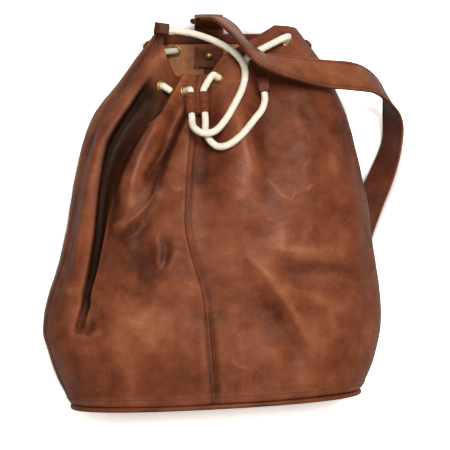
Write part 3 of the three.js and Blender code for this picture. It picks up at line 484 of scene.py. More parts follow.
@dataclass(frozen=True)
class WaxedLeather(Finish):
    """Oiled and waxed pull-up leather: mottled brown, paler where pulled or rubbed, painted highlight on crests,
    painted shade in hollows.
    """

    deep: str = "#2a1109"
    dark: str = "#4c2214"
    middle: str = "#753d26"
    pale: str = "#94583a"
    rubbed_and_highlight: str = "#ac724b"
    shade: str = "#120603"
    sheen: str = "#ffcdb3"
    pore: str = "#a8a8a8"
    between_pores: str = "#ffffff"
    grain_mm: float = 1.1
    scratch_share: float = 1.0
    polish_gain: float = 0.22
    tone_shift: float = -0.055
    clouds: Mottle = Mottle(64, 5, 0.6, 0.7)
    spots: Mottle = Mottle(17, 5, 0.6, 0.3)
    shine: Mottle = Mottle(26, 4, 0.6)
    creases: Mottle = Mottle(6, 5, 0.62, 0.8)
    fibres: Mottle = Mottle(2.6, 2, 0.5)
    patches: Mottle = Mottle(45, 3)
    scratch_turns: tuple[tuple[float, float], ...] = ((36, 0.3), (-52, 1.7), (78, 4.1))
    scratch_stretch: tuple[float, float, float] = (18, 1, 4)

    def make(self) -> bpy.types.Material:
        """Builds the material."""
        material, tree, where = self.start()
        pull, painted_shade_and_seams, polish = (add_node(tree, Kind.ATTRIBUTE, attribute_name=name).outputs["Fac"]
                               for name in ("pull", "painted_shade_and_seams", "polish"))
        clouds, spots, shine, creases = (add_node(tree, Kind.NOISE, mottle.sockets(where))
                                         for mottle in (self.clouds, self.spots, self.shine, self.creases))
        pores = add_node(tree, Kind.VORONOI, {"Vector": where, "Scale": 1 / (self.grain_mm * MM)},
                         feature="F1")
        scratch = self.scratches(tree, where)
        tone = self.tone_shift
        for source, share in ((clouds, 0.7), (spots, 0.34), (pull, 0.3)):
            tone = add_node(tree, Kind.MATH, {0: source, 1: share, 2: tone}, operation="MULTIPLY_ADD")
        colour = add_node(tree, Kind.COLOUR_RAMP, {0: tone},
                          ((0.05, self.deep), (0.28, self.dark), (0.5, self.middle), (0.72, self.pale),
                           (0.98, self.rubbed_and_highlight)))
        worn = add_node(tree, Kind.MATH, {0: scratch, 1: 0.3 * self.scratch_share}, operation="MULTIPLY")
        pit = add_node(tree, Kind.COLOUR_RAMP, {0: pores}, ((0.12, self.pore), (0.5, self.between_pores)))
        # Scratches, pores, then painted shade in the fold hollows and darker stitch rows
        for share, tint, blend in ((worn, self.rubbed_and_highlight, "MIX"), (0.45, pit, "MULTIPLY"),
                                   (painted_shade_and_seams, self.shade, "MIX")):
            colour = add_node(tree, Kind.MIX, {0: share, 6: colour, 7: tint}, data_type="RGBA",
                              blend_type=blend).outputs[2]
        rough = self.roughness - 0.14
        for source, share in ((shine, 0.28), (painted_shade_and_seams, 0.25), (polish, -self.polish_gain), (scratch, 0.12)):
            rough = add_node(tree, Kind.MATH, {0: source, 1: share, 2: rough}, operation="MULTIPLY_ADD",
                             use_clamp=True)
        grain = add_node(tree, Kind.BUMP, {"Strength": 0.3, "Distance": 0.0002, "Height": pores})
        wrinkle = add_node(tree, Kind.BUMP, {"Strength": 0.35, "Distance": 0.0009, "Height": creases,
                                             "Normal": grain})
        return self.close(material, {"Base Color": colour, "Roughness": rough, "Specular IOR Level": 0.25,
                                     "Specular Tint": self.sheen, "Normal": wrinkle})

    def scratches(self, tree: bpy.types.NodeTree, where: bpy.types.NodeSocket) -> bpy.types.Node:
        """Thin pale scratches in three directions, in patches."""
        most = 0.0
        for degrees, seed in self.scratch_turns:
            along = add_node(tree, Kind.MAPPING, {"Vector": where, "Location": (seed, seed, 0),
                                                  "Rotation": (0, 0, math.radians(degrees)),
                                                  "Scale": self.scratch_stretch}, vector_type="TEXTURE")
            fibre = add_node(tree, Kind.NOISE, self.fibres.sockets(along))
            thin = add_node(tree, Kind.MAP_RANGE, {0: fibre, 1: 0.68, 2: 0.75})
            most = add_node(tree, Kind.MATH, {0: thin, 1: most}, operation="MAXIMUM")
        cloud = add_node(tree, Kind.NOISE, self.patches.sockets(where))
        patches = add_node(tree, Kind.MAP_RANGE, {0: cloud, 1: 0.46, 2: 0.64})
        return add_node(tree, Kind.MATH, {0: most, 1: patches}, operation="MULTIPLY")


@dataclass(frozen=True)
class Suede(Finish):
    """Raw flesh side of the leather: short dull nap in grey brown."""

    dark: str = "#7a4c30"
    middle: str = "#a86f48"
    pale: str = "#cf9668"
    nap: Mottle = Mottle(1.6, 6, 0.7)
    brushed: Mottle = Mottle(22, 4, 0.6, 0.5)

    def make(self) -> bpy.types.Material:
        """Builds the material."""
        material, tree, where = self.start()
        nap = add_node(tree, Kind.NOISE, self.nap.sockets(where))
        brushed = add_node(tree, Kind.NOISE, self.brushed.sockets(where))
        tone = 0.0
        for source in (nap, brushed):
            tone = add_node(tree, Kind.MATH, {0: source, 1: 0.5, 2: tone}, operation="MULTIPLY_ADD")
        colour = add_node(tree, Kind.COLOUR_RAMP, {0: tone},
                          ((0.3, self.dark), (0.52, self.middle), (0.72, self.pale)))
        fuzz = add_node(tree, Kind.BUMP, {"Strength": 0.5, "Distance": 0.0005, "Height": nap})
        return self.close(material, {"Base Color": colour, "Sheen Weight": 0.25, "Sheen Roughness": 0.6,
                                     "Specular IOR Level": 0.2, "Normal": fuzz})


@dataclass(frozen=True)
class BraidedCotton(Finish):
    """Braided cotton cord: cream yarns, with painted shade between them, and greyer where hands have been."""

    hollow: str = "#d6cab4"
    yarn: str = "#fff7e4"
    soil: str = "#f3e7cd"
    soiling: Mottle = Mottle(24, 4)
    hair: Mottle = Mottle(0.5, 3)

    def make(self) -> bpy.types.Material:
        """Builds the material."""
        material, tree, where = self.start()
        proud, twist = (add_node(tree, Kind.ATTRIBUTE, attribute_name=name).outputs["Fac"]
                        for name in ("proud", "twist"))
        soiled = add_node(tree, Kind.NOISE, self.soiling.sockets(where))
        raised = add_node(tree, Kind.MAP_RANGE, {0: proud, 1: 0.05, 2: 0.6})
        base = add_node(tree, Kind.MIX, {0: soiled, 6: self.soil, 7: self.yarn}, data_type="RGBA").outputs[2]
        # Painted shade between the yarns, where they lie low
        colour = add_node(tree, Kind.MIX, {0: raised, 6: self.hollow, 7: base}, data_type="RGBA").outputs[2]
        turned = add_node(tree, Kind.MATH, {0: twist, 1: 2 * math.pi}, operation="MULTIPLY")
        fibre = add_node(tree, Kind.MATH, {0: turned}, operation="SINE")
        hair = add_node(tree, Kind.NOISE, self.hair.sockets(where))
        yarns = add_node(tree, Kind.BUMP, {"Strength": 0.45, "Distance": 0.0002, "Height": fibre})
        fuzz = add_node(tree, Kind.BUMP, {"Strength": 0.5, "Distance": 0.0002, "Height": hair,
                                          "Normal": yarns})
        return self.close(material, {"Base Color": colour, "Sheen Weight": 0.2, "Specular IOR Level": 0.25,
                                     "Normal": fuzz})


@dataclass(frozen=True)
class AgedMetal(Finish):
    """Metal fitting with tarnish in patches and fine rub marks."""

    bright: str = "#c79a55"
    tarnish: str = "#6b4a22"
    tarnish_from: float = 0.45
    cloud: Mottle = Mottle(4, 5, 0.65)
    rubs: Mottle = Mottle(0.6, 2)

    def make(self) -> bpy.types.Material:
        """Builds the material."""
        material, tree, where = self.start()
        cloud = add_node(tree, Kind.NOISE, self.cloud.sockets(where))
        worn = add_node(tree, Kind.MAP_RANGE,
                        {0: cloud, 1: self.tarnish_from, 2: self.tarnish_from + 0.25})
        colour = add_node(tree, Kind.MIX, {0: worn, 6: self.bright, 7: self.tarnish},
                          data_type="RGBA").outputs[2]
        rough = add_node(tree, Kind.MATH, {0: worn, 1: 0.25, 2: self.roughness}, operation="MULTIPLY_ADD")
        marks = add_node(tree, Kind.NOISE, self.rubs.sockets(where))
        rub = add_node(tree, Kind.BUMP, {"Strength": 0.12, "Distance": 0.0001, "Height": marks})
        return self.close(material, {"Metallic": 1.0, "Base Color": colour, "Roughness": rough, "Normal": rub})


@dataclass(frozen=True)
class Thread(Finish):
    """Waxed sewing thread, with painted sheen in patches."""

    colour: str = "#24110a"
    lit: str = "#43241a"
    painted_sheen: Mottle = Mottle(3, 3)
    plies: Mottle = Mottle(0.4, 2)

    def make(self) -> bpy.types.Material:
        """Builds the material."""
        material, tree, where = self.start()
        # Painted sheen: patches of the lit colour
        painted_sheen = add_node(tree, Kind.NOISE, self.painted_sheen.sockets(where))
        colour = add_node(tree, Kind.MIX, {0: painted_sheen, 6: self.colour, 7: self.lit}, data_type="RGBA").outputs[2]
        plies = add_node(tree, Kind.NOISE, self.plies.sockets(where))
        ply = add_node(tree, Kind.BUMP, {"Strength": 0.4, "Distance": 0.0001, "Height": plies})
        return self.close(material, {"Base Color": colour, "Normal": ply})


@dataclass
class Library:
    """The materials of the bag, made once."""

    leather: bpy.types.Material = field(init=False)
    trim: bpy.types.Material = field(init=False)
    lining: bpy.types.Material = field(init=False)
    suede: bpy.types.Material = field(init=False)
    cotton: bpy.types.Material = field(init=False)
    brass: bpy.types.Material = field(init=False)
    gunmetal: bpy.types.Material = field(init=False)
    nickel: bpy.types.Material = field(init=False)
    board: bpy.types.Material = field(init=False)
    thread: bpy.types.Material = field(init=False)

    def __post_init__(self) -> None:
        """Makes every material."""
        self.leather = WaxedLeather("waxed_leather", 0.45).make()
        self.trim = WaxedLeather("trim_leather", 0.48, scratch_share=0.5, grain_mm=1.0).make()
        self.lining = WaxedLeather("lining_leather", 0.6, deep="#230f09", dark="#3d1c11", middle="#5c301f",
                                   pale="#7a472c", rubbed_and_highlight="#96623e", scratch_share=0.3).make()
        self.suede = Suede("suede_flesh_side", 0.95).make()
        self.cotton = BraidedCotton("braided_cotton", 0.85).make()
        self.brass = AgedMetal("antique_brass", 0.3).make()
        self.gunmetal = AgedMetal("gunmetal", 0.32, bright="#5a5450", tarnish="#2f2926").make()
        self.nickel = AgedMetal("bright_nickel", 0.18, bright="#d9d6d0", tarnish="#a8a49b",
                                tarnish_from=0.6).make()
        self.board = Suede("pressed_fibre_board", 0.95, dark="#6a5a48", middle="#877660",
                           pale="#a08f78").make()
        self.thread = Thread("waxed_thread", 0.55).make()


def settle(obj: bpy.types.Object, material: bpy.types.Material, slot: Slot, node: str = "",
           body: Body = Body.BAG, **painted: float) -> None:
    """Dresses a finished piece and says where it belongs.

    Args:
        obj: the piece.
        material: its material.
        slot: its material slot of the record; not used.
        node: CAD node that it replaces, if any.
        body: body that it rides on.
        painted: values stored for all its corners, by name.
    """
    for name, value in painted.items():
        paint(obj, name, np.full(len(obj.data.vertices), value))
    obj.data.materials.append(material)
    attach(obj, body.value)
    if node:
        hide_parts(node)


# The leather body


@dataclass(frozen=True)
class Fold:
    """Fold that the drawcord gathers at the mouth; sizes as in the CAD source."""

    angle: float
    drift: float
    spread: float
    depth: float
    reach: float


@dataclass(frozen=True)
class Gather:
    """Sharp dark hollow between two gathers: angle at the rim, drift, widths to both sides, depth and shade."""

    angle: float
    drift: float
    left: float
    right: float
    reach: float
    depth: float
    strength: float
    end: float = 1.1

    def wave(self, angle: Array, share: Array) -> Array:
        """Share of the hollow at each place: full in its middle, with one steep and one gentle side."""
        away = turn(angle - self.angle - self.drift * (1 - share))
        width = 0.75 + 0.25 * smooth(0.5, 0.8, share)
        flat = 0.18
        sides = (smooth(-self.right * width, -flat * self.right * width, away)
                 * (1 - smooth(flat * self.left * width, self.left * width, away)))
        along = smooth(self.reach, self.reach + 0.22, share) * (1 - smooth(self.end - 0.08, self.end, share))
        return sides * along


@dataclass(frozen=True)
class Crease:
    """Ridge or, with a negative height, trough along a line on the front, in millimetres seen from above."""

    way: tuple[tuple[float, float], ...]
    width: float
    height: float
    lean: float = 0.0
    fade: float = 0.3

    def lift(self, x: Array, y: Array) -> Array:
        """Height of the crease at places seen from above."""
        points = np.array(self.way, float)
        lengths = np.linalg.norm(np.diff(points, axis=0), axis=1)
        total = lengths.sum()
        best = np.full(x.shape, 1e9)
        side = np.zeros(x.shape)
        along = np.zeros(x.shape)
        start = 0.0
        for (x0, y0), (x1, y1), length in zip(points[:-1], points[1:], lengths):
            ux, uy = (x1 - x0) / length, (y1 - y0) / length
            t = np.clip((x - x0) * ux + (y - y0) * uy, 0, length)
            dx, dy = x - x0 - ux * t, y - y0 - uy * t
            distance = np.hypot(dx, dy)
            nearer = distance < best
            best = np.where(nearer, distance, best)
            side = np.where(nearer, ux * dy - uy * dx, side)
            along = np.where(nearer, (start + t) / total, along)
            start += length
        width = self.width * np.where(side > 0, 1 + self.lean, 1 - self.lean)
        ends = smooth(0, self.fade, along) * smooth(0, self.fade, 1 - along)
        return self.height * np.exp(-(best / width) ** 2) * ends


@dataclass(frozen=True)
class Dent:
    """Soft hollow or swelling on the front, in millimetres seen from above."""

    x: float
    y: float
    half_width: float
    half_length: float
    height: float

    def lift(self, x: Array, y: Array) -> Array:
        """Height of the dent at places seen from above."""
        across, along = (x - self.x) / self.half_width, (y - self.y) / self.half_length
        return self.height * np.exp(-across ** 2 - along ** 2)


CREASES: tuple[Crease, ...] = (
    Crease(((-118, -8), (-106, -12), (-92, -11), (-79, -2), (-68, 12), (-60, 28), (-54, 50)), 8, 3.4),
    Crease(((-116, -25), (-100, -28), (-82, -21), (-66, -6), (-54, 12), (-46, 34)), 9, -3),
    Crease(((-137, -146), (-137, -78)), 18, -8),
    Crease(((-162, -124), (-136, -135), (-108, -120)), 10, 3.4),
    Crease(((19, -25), (51, -56), (75, -89), (96, -126), (122, -165)), 14, 4.4),
    Crease(((26, -66), (64, -108), (88, -142), (102, -168)), 17, -4.4),
    Crease(((45, -36), (90, -42), (152, -41)), 12, 3.8),
    Crease(((52, -55), (101, -61), (150, -56)), 10, -3),
    Crease(((145, 67), (150, -6), (149, -68), (143, -135), (135, -165)), 9, 2.8),
)

RELIEF: tuple[Crease | Dent, ...] = (
    # Sharper lip at the end of the left front fold
    Crease(((-112, -8), (-104, -12), (-92, -11), (-79, -2), (-69, 9), (-61, 22), (-57, 46)), 2.4, 1.3, 0, 0.2),
    Crease(((-112, -20), (-100, -24), (-86, -20), (-72, -8), (-61, 6)), 6, -1.2),
    # Left front fold: round back and sharp right edge
    Crease(((-48, 114), (-69, 78), (-85, 48), (-95, 24), (-104, 4)), 11, 4.8, 0, 0.24),
    Crease(((-35, 116), (-44, 93), (-52, 70), (-59, 57), (-67, 44), (-75, 26)), 5, -5, 0, 0.2),
    # Turned-in foot of the large left fold
    Crease(((-160, -118), (-146, -128), (-130, -130), (-112, -118)), 4, 1.8),
    Crease(((-150, -112), (-136, -119), (-122, -112)), 6, -2),
    # Brow of the shelf on the right
    Crease(((40, -30), (90, -40), (152, -39)), 19, 3.4, 0.4),
    # Softer end of the groove under the shelf
    Crease(((52, -57), (101, -63), (150, -58)), 11, 2.8),
    # Short creases beside the seam
    Crease(((-64, -14), (-56, -37), (-58, -63)), 5, 1.8),
    Crease(((-45, -21), (-52, -58)), 6, -1.6),
    Crease(((-36, -34), (-50, -64)), 4, 1.2),
    # Crest of the long slanting ridge on the right
    Crease(((30, -40), (51, -58), (75, -90), (96, -126), (112, -150)), 5, 1.3, 0.3),
    # Lower part of the third fold
    Crease(((10, 128), (20, 106), (31, 86), (40, 60), (47, 34)), 9, 2.6),
    # Soft swellings
    Dent(-70, -120, 55, 60, 2.5),
    Dent(60, 20, 50, 40, 1.0),
    Dent(20, -150, 60, 26, 2.0),
    Dent(106, -172, 42, 15, 3.0),
    Dent(30, -186, 36, 9, 1.8),
)

# Patches painted paler, above 0, or darker: partly the leather's own tone, partly painted shade
TONE_AND_SHADE: tuple[Dent, ...] = (
    Dent(-82, -48, 42, 36, -0.7), Dent(-78, 62, 46, 50, -0.45), Dent(60, 95, 60, 45, -0.4),
    Dent(-70, -120, 60, 42, 0.45), Dent(48, 5, 34, 26, -0.35),
)

# Pale scuffs
SCUFFS: tuple[Crease, ...] = (
    Crease(((52, 38), (63, 31), (70, 21), (77, 18), (80, 12)), 1.3, 0.8),
    Crease(((79, 12), (83, 20), (90, 24)), 1.2, 0.6),
    Crease(((97, 25), (101, 30), (106, 31)), 1.4, 0.9), Crease(((54, -4), (62, -6)), 1.3, 0.6),
    Crease(((92, 40), (96, 52), (104, 62)), 1.3, 0.4), Crease(((-46, 30), (-38, 26), (-30, 27)), 1.8, 0.6),
    Crease(((19, -148), (26, -157), (40, -160)), 1.5, 0.5),
    Crease(((-92, -104), (-84, -111), (-70, -112)), 2.2, 0.4),
)

# Places that use has polished
POLISH: tuple[Dent, ...] = (
    Dent(105, -23, 46, 20, 1), Dent(116, -156, 30, 18, 0.9), Dent(74, -96, 40, 16, 0.5), Dent(-25, 85, 9, 24, 0.7),
    Dent(-100, 90, 18, 50, 0.5), Dent(35, 60, 14, 40, 0.5), Dent(-80, 50, 24, 40, 0.3), Dent(20, -178, 60, 9, 0.6),
    Dent(-45, -70, 20, 30, 0.4),
)


@dataclass(frozen=True)
class BagShape:
    """Outside of the leather by angle round the bag and share of its length; sizes as in the CAD source."""

    base_y: float = -197
    rim_y: float = 205
    front_rim_dip: float = 54
    base_skew_deg: float = 3
    widest_share: float = 0.46
    back_sink: float = 8
    front_roundness: float = 2.3
    back_roundness: float = 2.6
    right_seam: float = -6
    fold_depth: float = 9
    fold_taper: float = 0.4
    rim_slack: float = 0.4
    slack_start: float = 0.86
    leather: float = 2
    left_half: Profile = Profile(((0, 156), (0.11, (156 + 2 * 187) / 3), (0.2, 187), (0.4, 167), (0.72, 141),
                                  (0.86, 104), (1, 62)))
    right_half: Profile = Profile(((0, 160), (0.08, (160 + 2 * 182) / 3), (0.18, 182), (0.46, 170), (0.76, 145),
                                   (0.88, 125), (1, 92)))
    front_z: Profile = Profile(((0, 146), (0.2, 150), (0.5, 150), (0.8, 124), (1, 94)))
    back_lift: Profile = Profile(((0, 4), (0.08, 0), (0.58, 0), (0.68, 0.19 * 12.7), (0.8, 0.45 * 12.7),
                                  (0.9, 12.7), (1, 22)))
    front_seam: Profile = Profile(((0, 89.5), (0.3, 91.2), (0.57, 97.5), (0.76, 97.5), (1, 101)))
    left_seam: Profile = Profile(((0, 166), (0.6, 159), (0.8, 148), (1, 151)))
    rim_dip: Profile = Profile(((48, 0), (80, 0.52), (86, 0.66), (94, 1), (131, 1), (138, 0.6),
                                (147, 0.2), (158, 0)))
    folds: tuple[Fold, ...] = (
        Fold(140, 9, 13, 1.2, 0.16), Fold(126.5, 20, 12, -0.9, 0.14), Fold(127, 16, 12, -1.1, 0.82),
        Fold(116.5, 12, 12, 1.15, 0.34), Fold(108, 16, 10, -0.85, 0.5), Fold(92, 0, 10, -0.8, 0.5),
        Fold(82, 0, 12, 0.9, 0.42), Fold(67, 0, 15, -0.75, 0.5), Fold(35, 0, 26, 0.45, 0.6),
        Fold(-10, 0, 22, -1.6, 0.7), Fold(315, 0, 17, 0.65, 0.72), Fold(227, 0, 17, 0.65, 0.72),
        Fold(192, 0, 22, -1.55, 0.7))
    # Hollows between gathers: geometric depth, and painted shade of the given strength
    gathers: tuple[Gather, ...] = (
        Gather(135.5, 4.4, 3, 5, 0.16, 11, 0.97, 0.98), Gather(135, 4.4, 7, 16, 0.45, 0, 0.8, 0.99),
        Gather(102, 25, 4, 3.5, 0.5, 1, 0.7, 0.95))
    # Crests of gathers painted pale: rubbing and painted highlight
    crests: tuple[Gather, ...] = (
        Gather(139.5, 9, 5, 2.5, 0.3, 0, 0.15), Gather(105.5, 38, 4, 4, 0.45, 0, 0.45, 0.92),
        Gather(91, -36, 6, 6, 0.5, 0, 0.35), Gather(35, 0, 14, 14, 0.6, 0, 0.15))

    def rim(self, angle: Array) -> Array:
        """Height of the rim along the bag."""
        within = np.clip(turn(np.asarray(angle, float)), self.rim_dip.stops[0][0], self.rim_dip.stops[-1][0])
        return self.rim_y - self.front_rim_dip * self.rim_dip(within)

    def shell(self, angle: Array, share: Array) -> Array:
        """Plain outside of the leather, as the CAD has it."""
        angle, share = np.broadcast_arrays(np.asarray(angle, float), np.asarray(share, float))
        c, s = np.cos(np.radians(angle)), np.sin(np.radians(angle))
        power = 2 / np.where(s >= 0, self.front_roundness, self.back_roundness)
        low, high = self.back_lift(share), self.front_z(share)
        middle = low + (high - low) * self.widest_share
        across = np.sign(c) * np.abs(c) ** power
        half = np.where(c >= 0, self.right_half(share), self.left_half(share))
        foot = np.where(c >= 0, self.right_half.stops[0][1], self.left_half.stops[0][1])
        reach = np.where(s >= 0, high - middle, middle - low + self.back_sink)
        out = unit(np.stack([np.sign(c) * np.abs(c) ** (2 - power) / half,
                             np.sign(s) * np.abs(s) ** (2 - power) / reach], axis=-1))
        depth = np.zeros(angle.shape)
        narrow = 1 - self.fold_taper * (1 - share)
        slack = 1 - self.rim_slack * smooth(self.slack_start, 1, share)
        for fold in self.folds:
            along = np.clip((share - fold.reach) / (1 - fold.reach), 0, 1)
            centre = fold.angle + fold.drift * (1 - share)
            wave = bump(turn(angle - centre) / (fold.spread * narrow))
            depth = depth + fold.depth * self.fold_depth * wave * along * (2 - along) * slack
        z = np.maximum(middle + reach * np.sign(s) * np.abs(s) ** power, low)
        start = self.base_y + math.tan(math.radians(self.base_skew_deg)) * foot * across
        y = start + (self.rim(angle) - start) * share
        front = smooth(0.1, 0.45, s) * smooth(0, 0.05, share)
        depth = depth + front * sum(crease.lift(half * across, y) for crease in CREASES)
        return np.stack([half * across + out[..., 0] * depth, y, z + out[..., 1] * depth], axis=-1)

    def frame(self, angle: Array, share: Array) -> tuple[Array, Array, Array]:
        """Point of the plain outside, its outward normal and the direction towards the rim."""
        angle, share = np.broadcast_arrays(np.asarray(angle, float), np.asarray(share, float))
        along = unit(self.shell(angle, np.minimum(share + 0.004, 1))
                     - self.shell(angle, np.maximum(share - 0.004, 0)))
        around = unit(self.shell(angle + 0.4, share) - self.shell(angle - 0.4, share))
        return self.shell(angle, share), unit(np.cross(along, around)), along

    def hollows(self, angle: Array, share: Array) -> Array:
        """How deep in a fold's shade each place lies, from 0 to 1."""
        return np.max([gather.strength * gather.wave(angle, share) for gather in self.gathers], axis=0)

    def rubbed_and_highlight(self, angle: Array, share: Array) -> Array:
        """How pale the crest of a gather is painted at each place, from 0 to 1: rubbing and a painted highlight.
        """
        return np.max([crest.strength * crest.wave(angle, share) for crest in self.crests], axis=0)

    def from_seam(self, angle: Array, share: Array) -> Array:
        """Distance to the nearest long seam in millimetres."""
        scale = np.linalg.norm(self.shell(angle + 0.5, share) - self.shell(angle - 0.5, share), axis=-1)
        seams = (self.front_seam(share), self.left_seam(share), self.right_seam)
        return np.min([np.abs(turn(angle - seam)) for seam in seams], axis=0) * scale

    def skin(self, angle: Array, share: Array) -> tuple[Array, Array]:
        """Outside of the leather with its creases, seams and wrinkles, and the plain normal."""
        angle, share = np.broadcast_arrays(np.asarray(angle, float), np.asarray(share, float))
        point, normal, _ = self.frame(angle, share)
        front = smooth(0.05, 0.45, normal[..., 2])
        body = 1 - smooth(0.84, 0.92, share)
        lift = np.zeros(angle.shape)
        for form in RELIEF:
            lift = lift + form.lift(point[..., 0], point[..., 1])
        lift = lift * front * body * smooth(0.0, 0.05, share)
        lift = lift - sum(gather.depth * gather.wave(angle, share) for gather in self.gathers) * (
            1 - smooth(0.88, 0.95, share))
        lift = lift + self.wrinkles(point) * (0.25 + 0.75 * body) * smooth(-0.75, -0.3, normal[..., 2])
        distance = self.from_seam(angle, share)
        lift = lift * smooth(0, 9, distance) + 0.6 * np.exp(-(distance / 1.7) ** 2)
        lift = lift - 0.45 * np.exp(-((distance - 3.1) / 1.2) ** 2)
        run = (point[..., 1] - self.shell(angle, np.zeros_like(share))[..., 1])
        lift = lift - 0.8 * np.exp(-(run / 1.8) ** 2) + 0.7 * np.exp(-((run - 7) / 4) ** 2)
        point = point + normal * lift[..., None]
        point[..., 2] = np.maximum(point[..., 2], 0)
        return point, normal

    @staticmethod
    def wrinkles(point: Array) -> Array:
        """Irregular small wrinkles and slow waves of the leather."""
        flat = point.reshape(-1, 3)
        slow = [noise.noise(Vector(p / 46)) for p in flat]
        quick = [noise.noise(Vector(p / 15) + Vector((7, 3, 1))) for p in flat]
        return (np.array(slow) * 2.0 + np.array(quick) * 0.55).reshape(point.shape[:-1])


@dataclass
class Panels:
    """The three sewn panels, the facing inside the rim, and their stitching."""

    bag: BagShape
    library: Library
    seam_gap: float = 0.4
    facing: float = 1.2
    facing_height: float = 11
    layer_gap: float = 0.3
    eyelet_hole: float = 5.2
    stitch: float = 3.5
    thread: float = 0.95
    row_offset: float = 3.1

    def build(self, eyelets: Array) -> None:
        """Makes every panel.

        Args:
            eyelets: middles of the eyelets, which are cut out of the leather.
        """
        bag = self.bag
        self.panel("front_left_panel", bag.front_seam, bag.left_seam, 190, 240, eyelets)
        self.panel("front_right_panel", lambda share: bag.right_seam + 0 * share, bag.front_seam, 204, 236,
                   eyelets)
        self.panel("back_panel", bag.left_seam, lambda share: bag.right_seam + 360 + 0 * share, 190, 200,
                   eyelets)
        self.rim_facing()
        self.sewing()

    def panel(self, name: str, start: Callable, end: Callable, columns: int, rows: int, eyelets: Array) -> None:
        """One panel between two seams."""
        obj, u, v = grid(name.replace("panel", "leather"), columns, rows)
        share = v
        first, last = start(share), end(share)
        scale = np.linalg.norm(self.bag.shell(first + 0.5, share) - self.bag.shell(first - 0.5, share), axis=-1)
        gap = self.seam_gap / 2 / scale
        angle = first + gap + (last - first - 2 * gap) * (1 - u)
        points, normal = self.bag.skin(angle, share)
        shape(obj, points)
        tone, polish = (sum(place.lift(points[:, 0], points[:, 1]) for place in places)
                        for places in (TONE_AND_SHADE + SCUFFS, POLISH))
        front = smooth(-0.1, 0.4, normal[:, 2])
        # Painted highlight on crests and painted shade in hollows, with pull-up paleness, the leather's own tone
        # and scuffs
        paint(obj, "pull", self.pull(points, normal, columns, rows) + self.bag.rubbed_and_highlight(angle, share) + tone * front)
        paint(obj, "polish", np.clip(polish * front, 0, 1))
        # Painted shade in the hollows of the folds, and darker leather along the stitch rows
        row = np.exp(-((self.bag.from_seam(angle, share) - self.row_offset) / 0.8) ** 2)
        paint(obj, "painted_shade_and_seams", np.maximum(self.bag.hollows(angle, share), 0.28 * row))
        self.cut(obj, eyelets)
        solid = obj.modifiers.new("leather", "SOLIDIFY")
        solid.thickness = self.bag.leather * MM
        solid.offset = -1
        solid.material_offset = 1
        solid.use_quality_normals = True
        obj.data.materials.append(self.library.leather)
        obj.data.materials.append(self.library.suede)
        apply_all(obj)
        bpy.ops.object.shade_smooth()
        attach(obj, Body.BAG.value)
        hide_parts(name)

    @staticmethod
    def pull(points: Array, normal: Array, columns: int, rows: int) -> Array:
        """How far each place stands over its surroundings: crests above 0, hollows below; pale pull-up crests,
        painted shade in hollows.
        """
        place_grid = points.reshape(rows + 1, columns + 1, 3)
        value = np.zeros(len(points))
        for reach, share in ((3, 0.4), (10, 0.12)):
            soft = place_grid
            for axis in (0, 1):
                padded = np.pad(soft, [(reach, reach) if k == axis else (0, 0) for k in range(3)], mode="reflect",
                                reflect_type="odd")
                total = np.cumsum(padded, axis=axis)
                size = 2 * reach + 1
                ends = np.take(total, range(size - 1, total.shape[axis]), axis=axis)
                starts = np.take(total, range(0, total.shape[axis] - size), axis=axis)
                soft = ends.copy()
                index = [slice(None)] * 3
                index[axis] = slice(1, None)
                soft[tuple(index)] -= starts
                soft = soft / size
            value = value + share * np.einsum("ij,ij->i", points - soft.reshape(-1, 3), normal)
        return np.clip(value, -1.2, 0.35)

    def cut(self, obj: bpy.types.Object, eyelets: Array) -> None:
        """Removes the leather inside the eyelets."""
        work = bmesh.new()
        work.from_mesh(obj.data)
        inside = []
        for face in work.faces:
            away = np.linalg.norm(eyelets - np.array(face.calc_center_median()) / MM, axis=1)
            if np.min(away) < self.eyelet_hole:
                inside.append(face)
        bmesh.ops.delete(work, geom=inside, context="FACES")
        work.to_mesh(obj.data)
        work.free()

    def rim_facing(self) -> None:
        """Strip of leather sewn inside the rim, all the way round."""
        angle = np.linspace(0, 360, 361)[:-1]
        rim = self.bag.rim(angle)
        low = 1 - self.facing_height / (rim - self.bag.base_y)
        depth = self.bag.leather + self.layer_gap + self.facing / 2
        top, top_normal, _ = self.bag.frame(angle, np.ones_like(angle))
        foot, foot_normal, _ = self.bag.frame(angle, low)
        along = unit(top - foot)
        normal = unit(top_normal + foot_normal)
        middle = (top + foot) / 2 - normal * depth
        half = np.linalg.norm(top - foot, axis=1) / 2
        section = band_section(2, -self.facing / 2, self.facing / 2, 0, 9, 20)
        sections = np.stack([section * vec(h, 1) for h in half])
        close = [np.concatenate([a, a[:1]]) for a in (middle, along, -normal, sections)]
        obj = sweep("rim_facing_strip", *close, closed=True)
        settle(obj, self.library.trim, Slot.SUEDE, "rim_facing", pull=-0.5)
        inner = foot + along * 2.2 - foot_normal * (depth + self.facing / 2)
        sewn = stitches("facing_stitches", np.concatenate([inner, inner[:1]]),
                        np.concatenate([-foot_normal, -foot_normal[:1]]), self.stitch, self.thread)
        settle(sewn, self.library.thread, Slot.LEATHER)

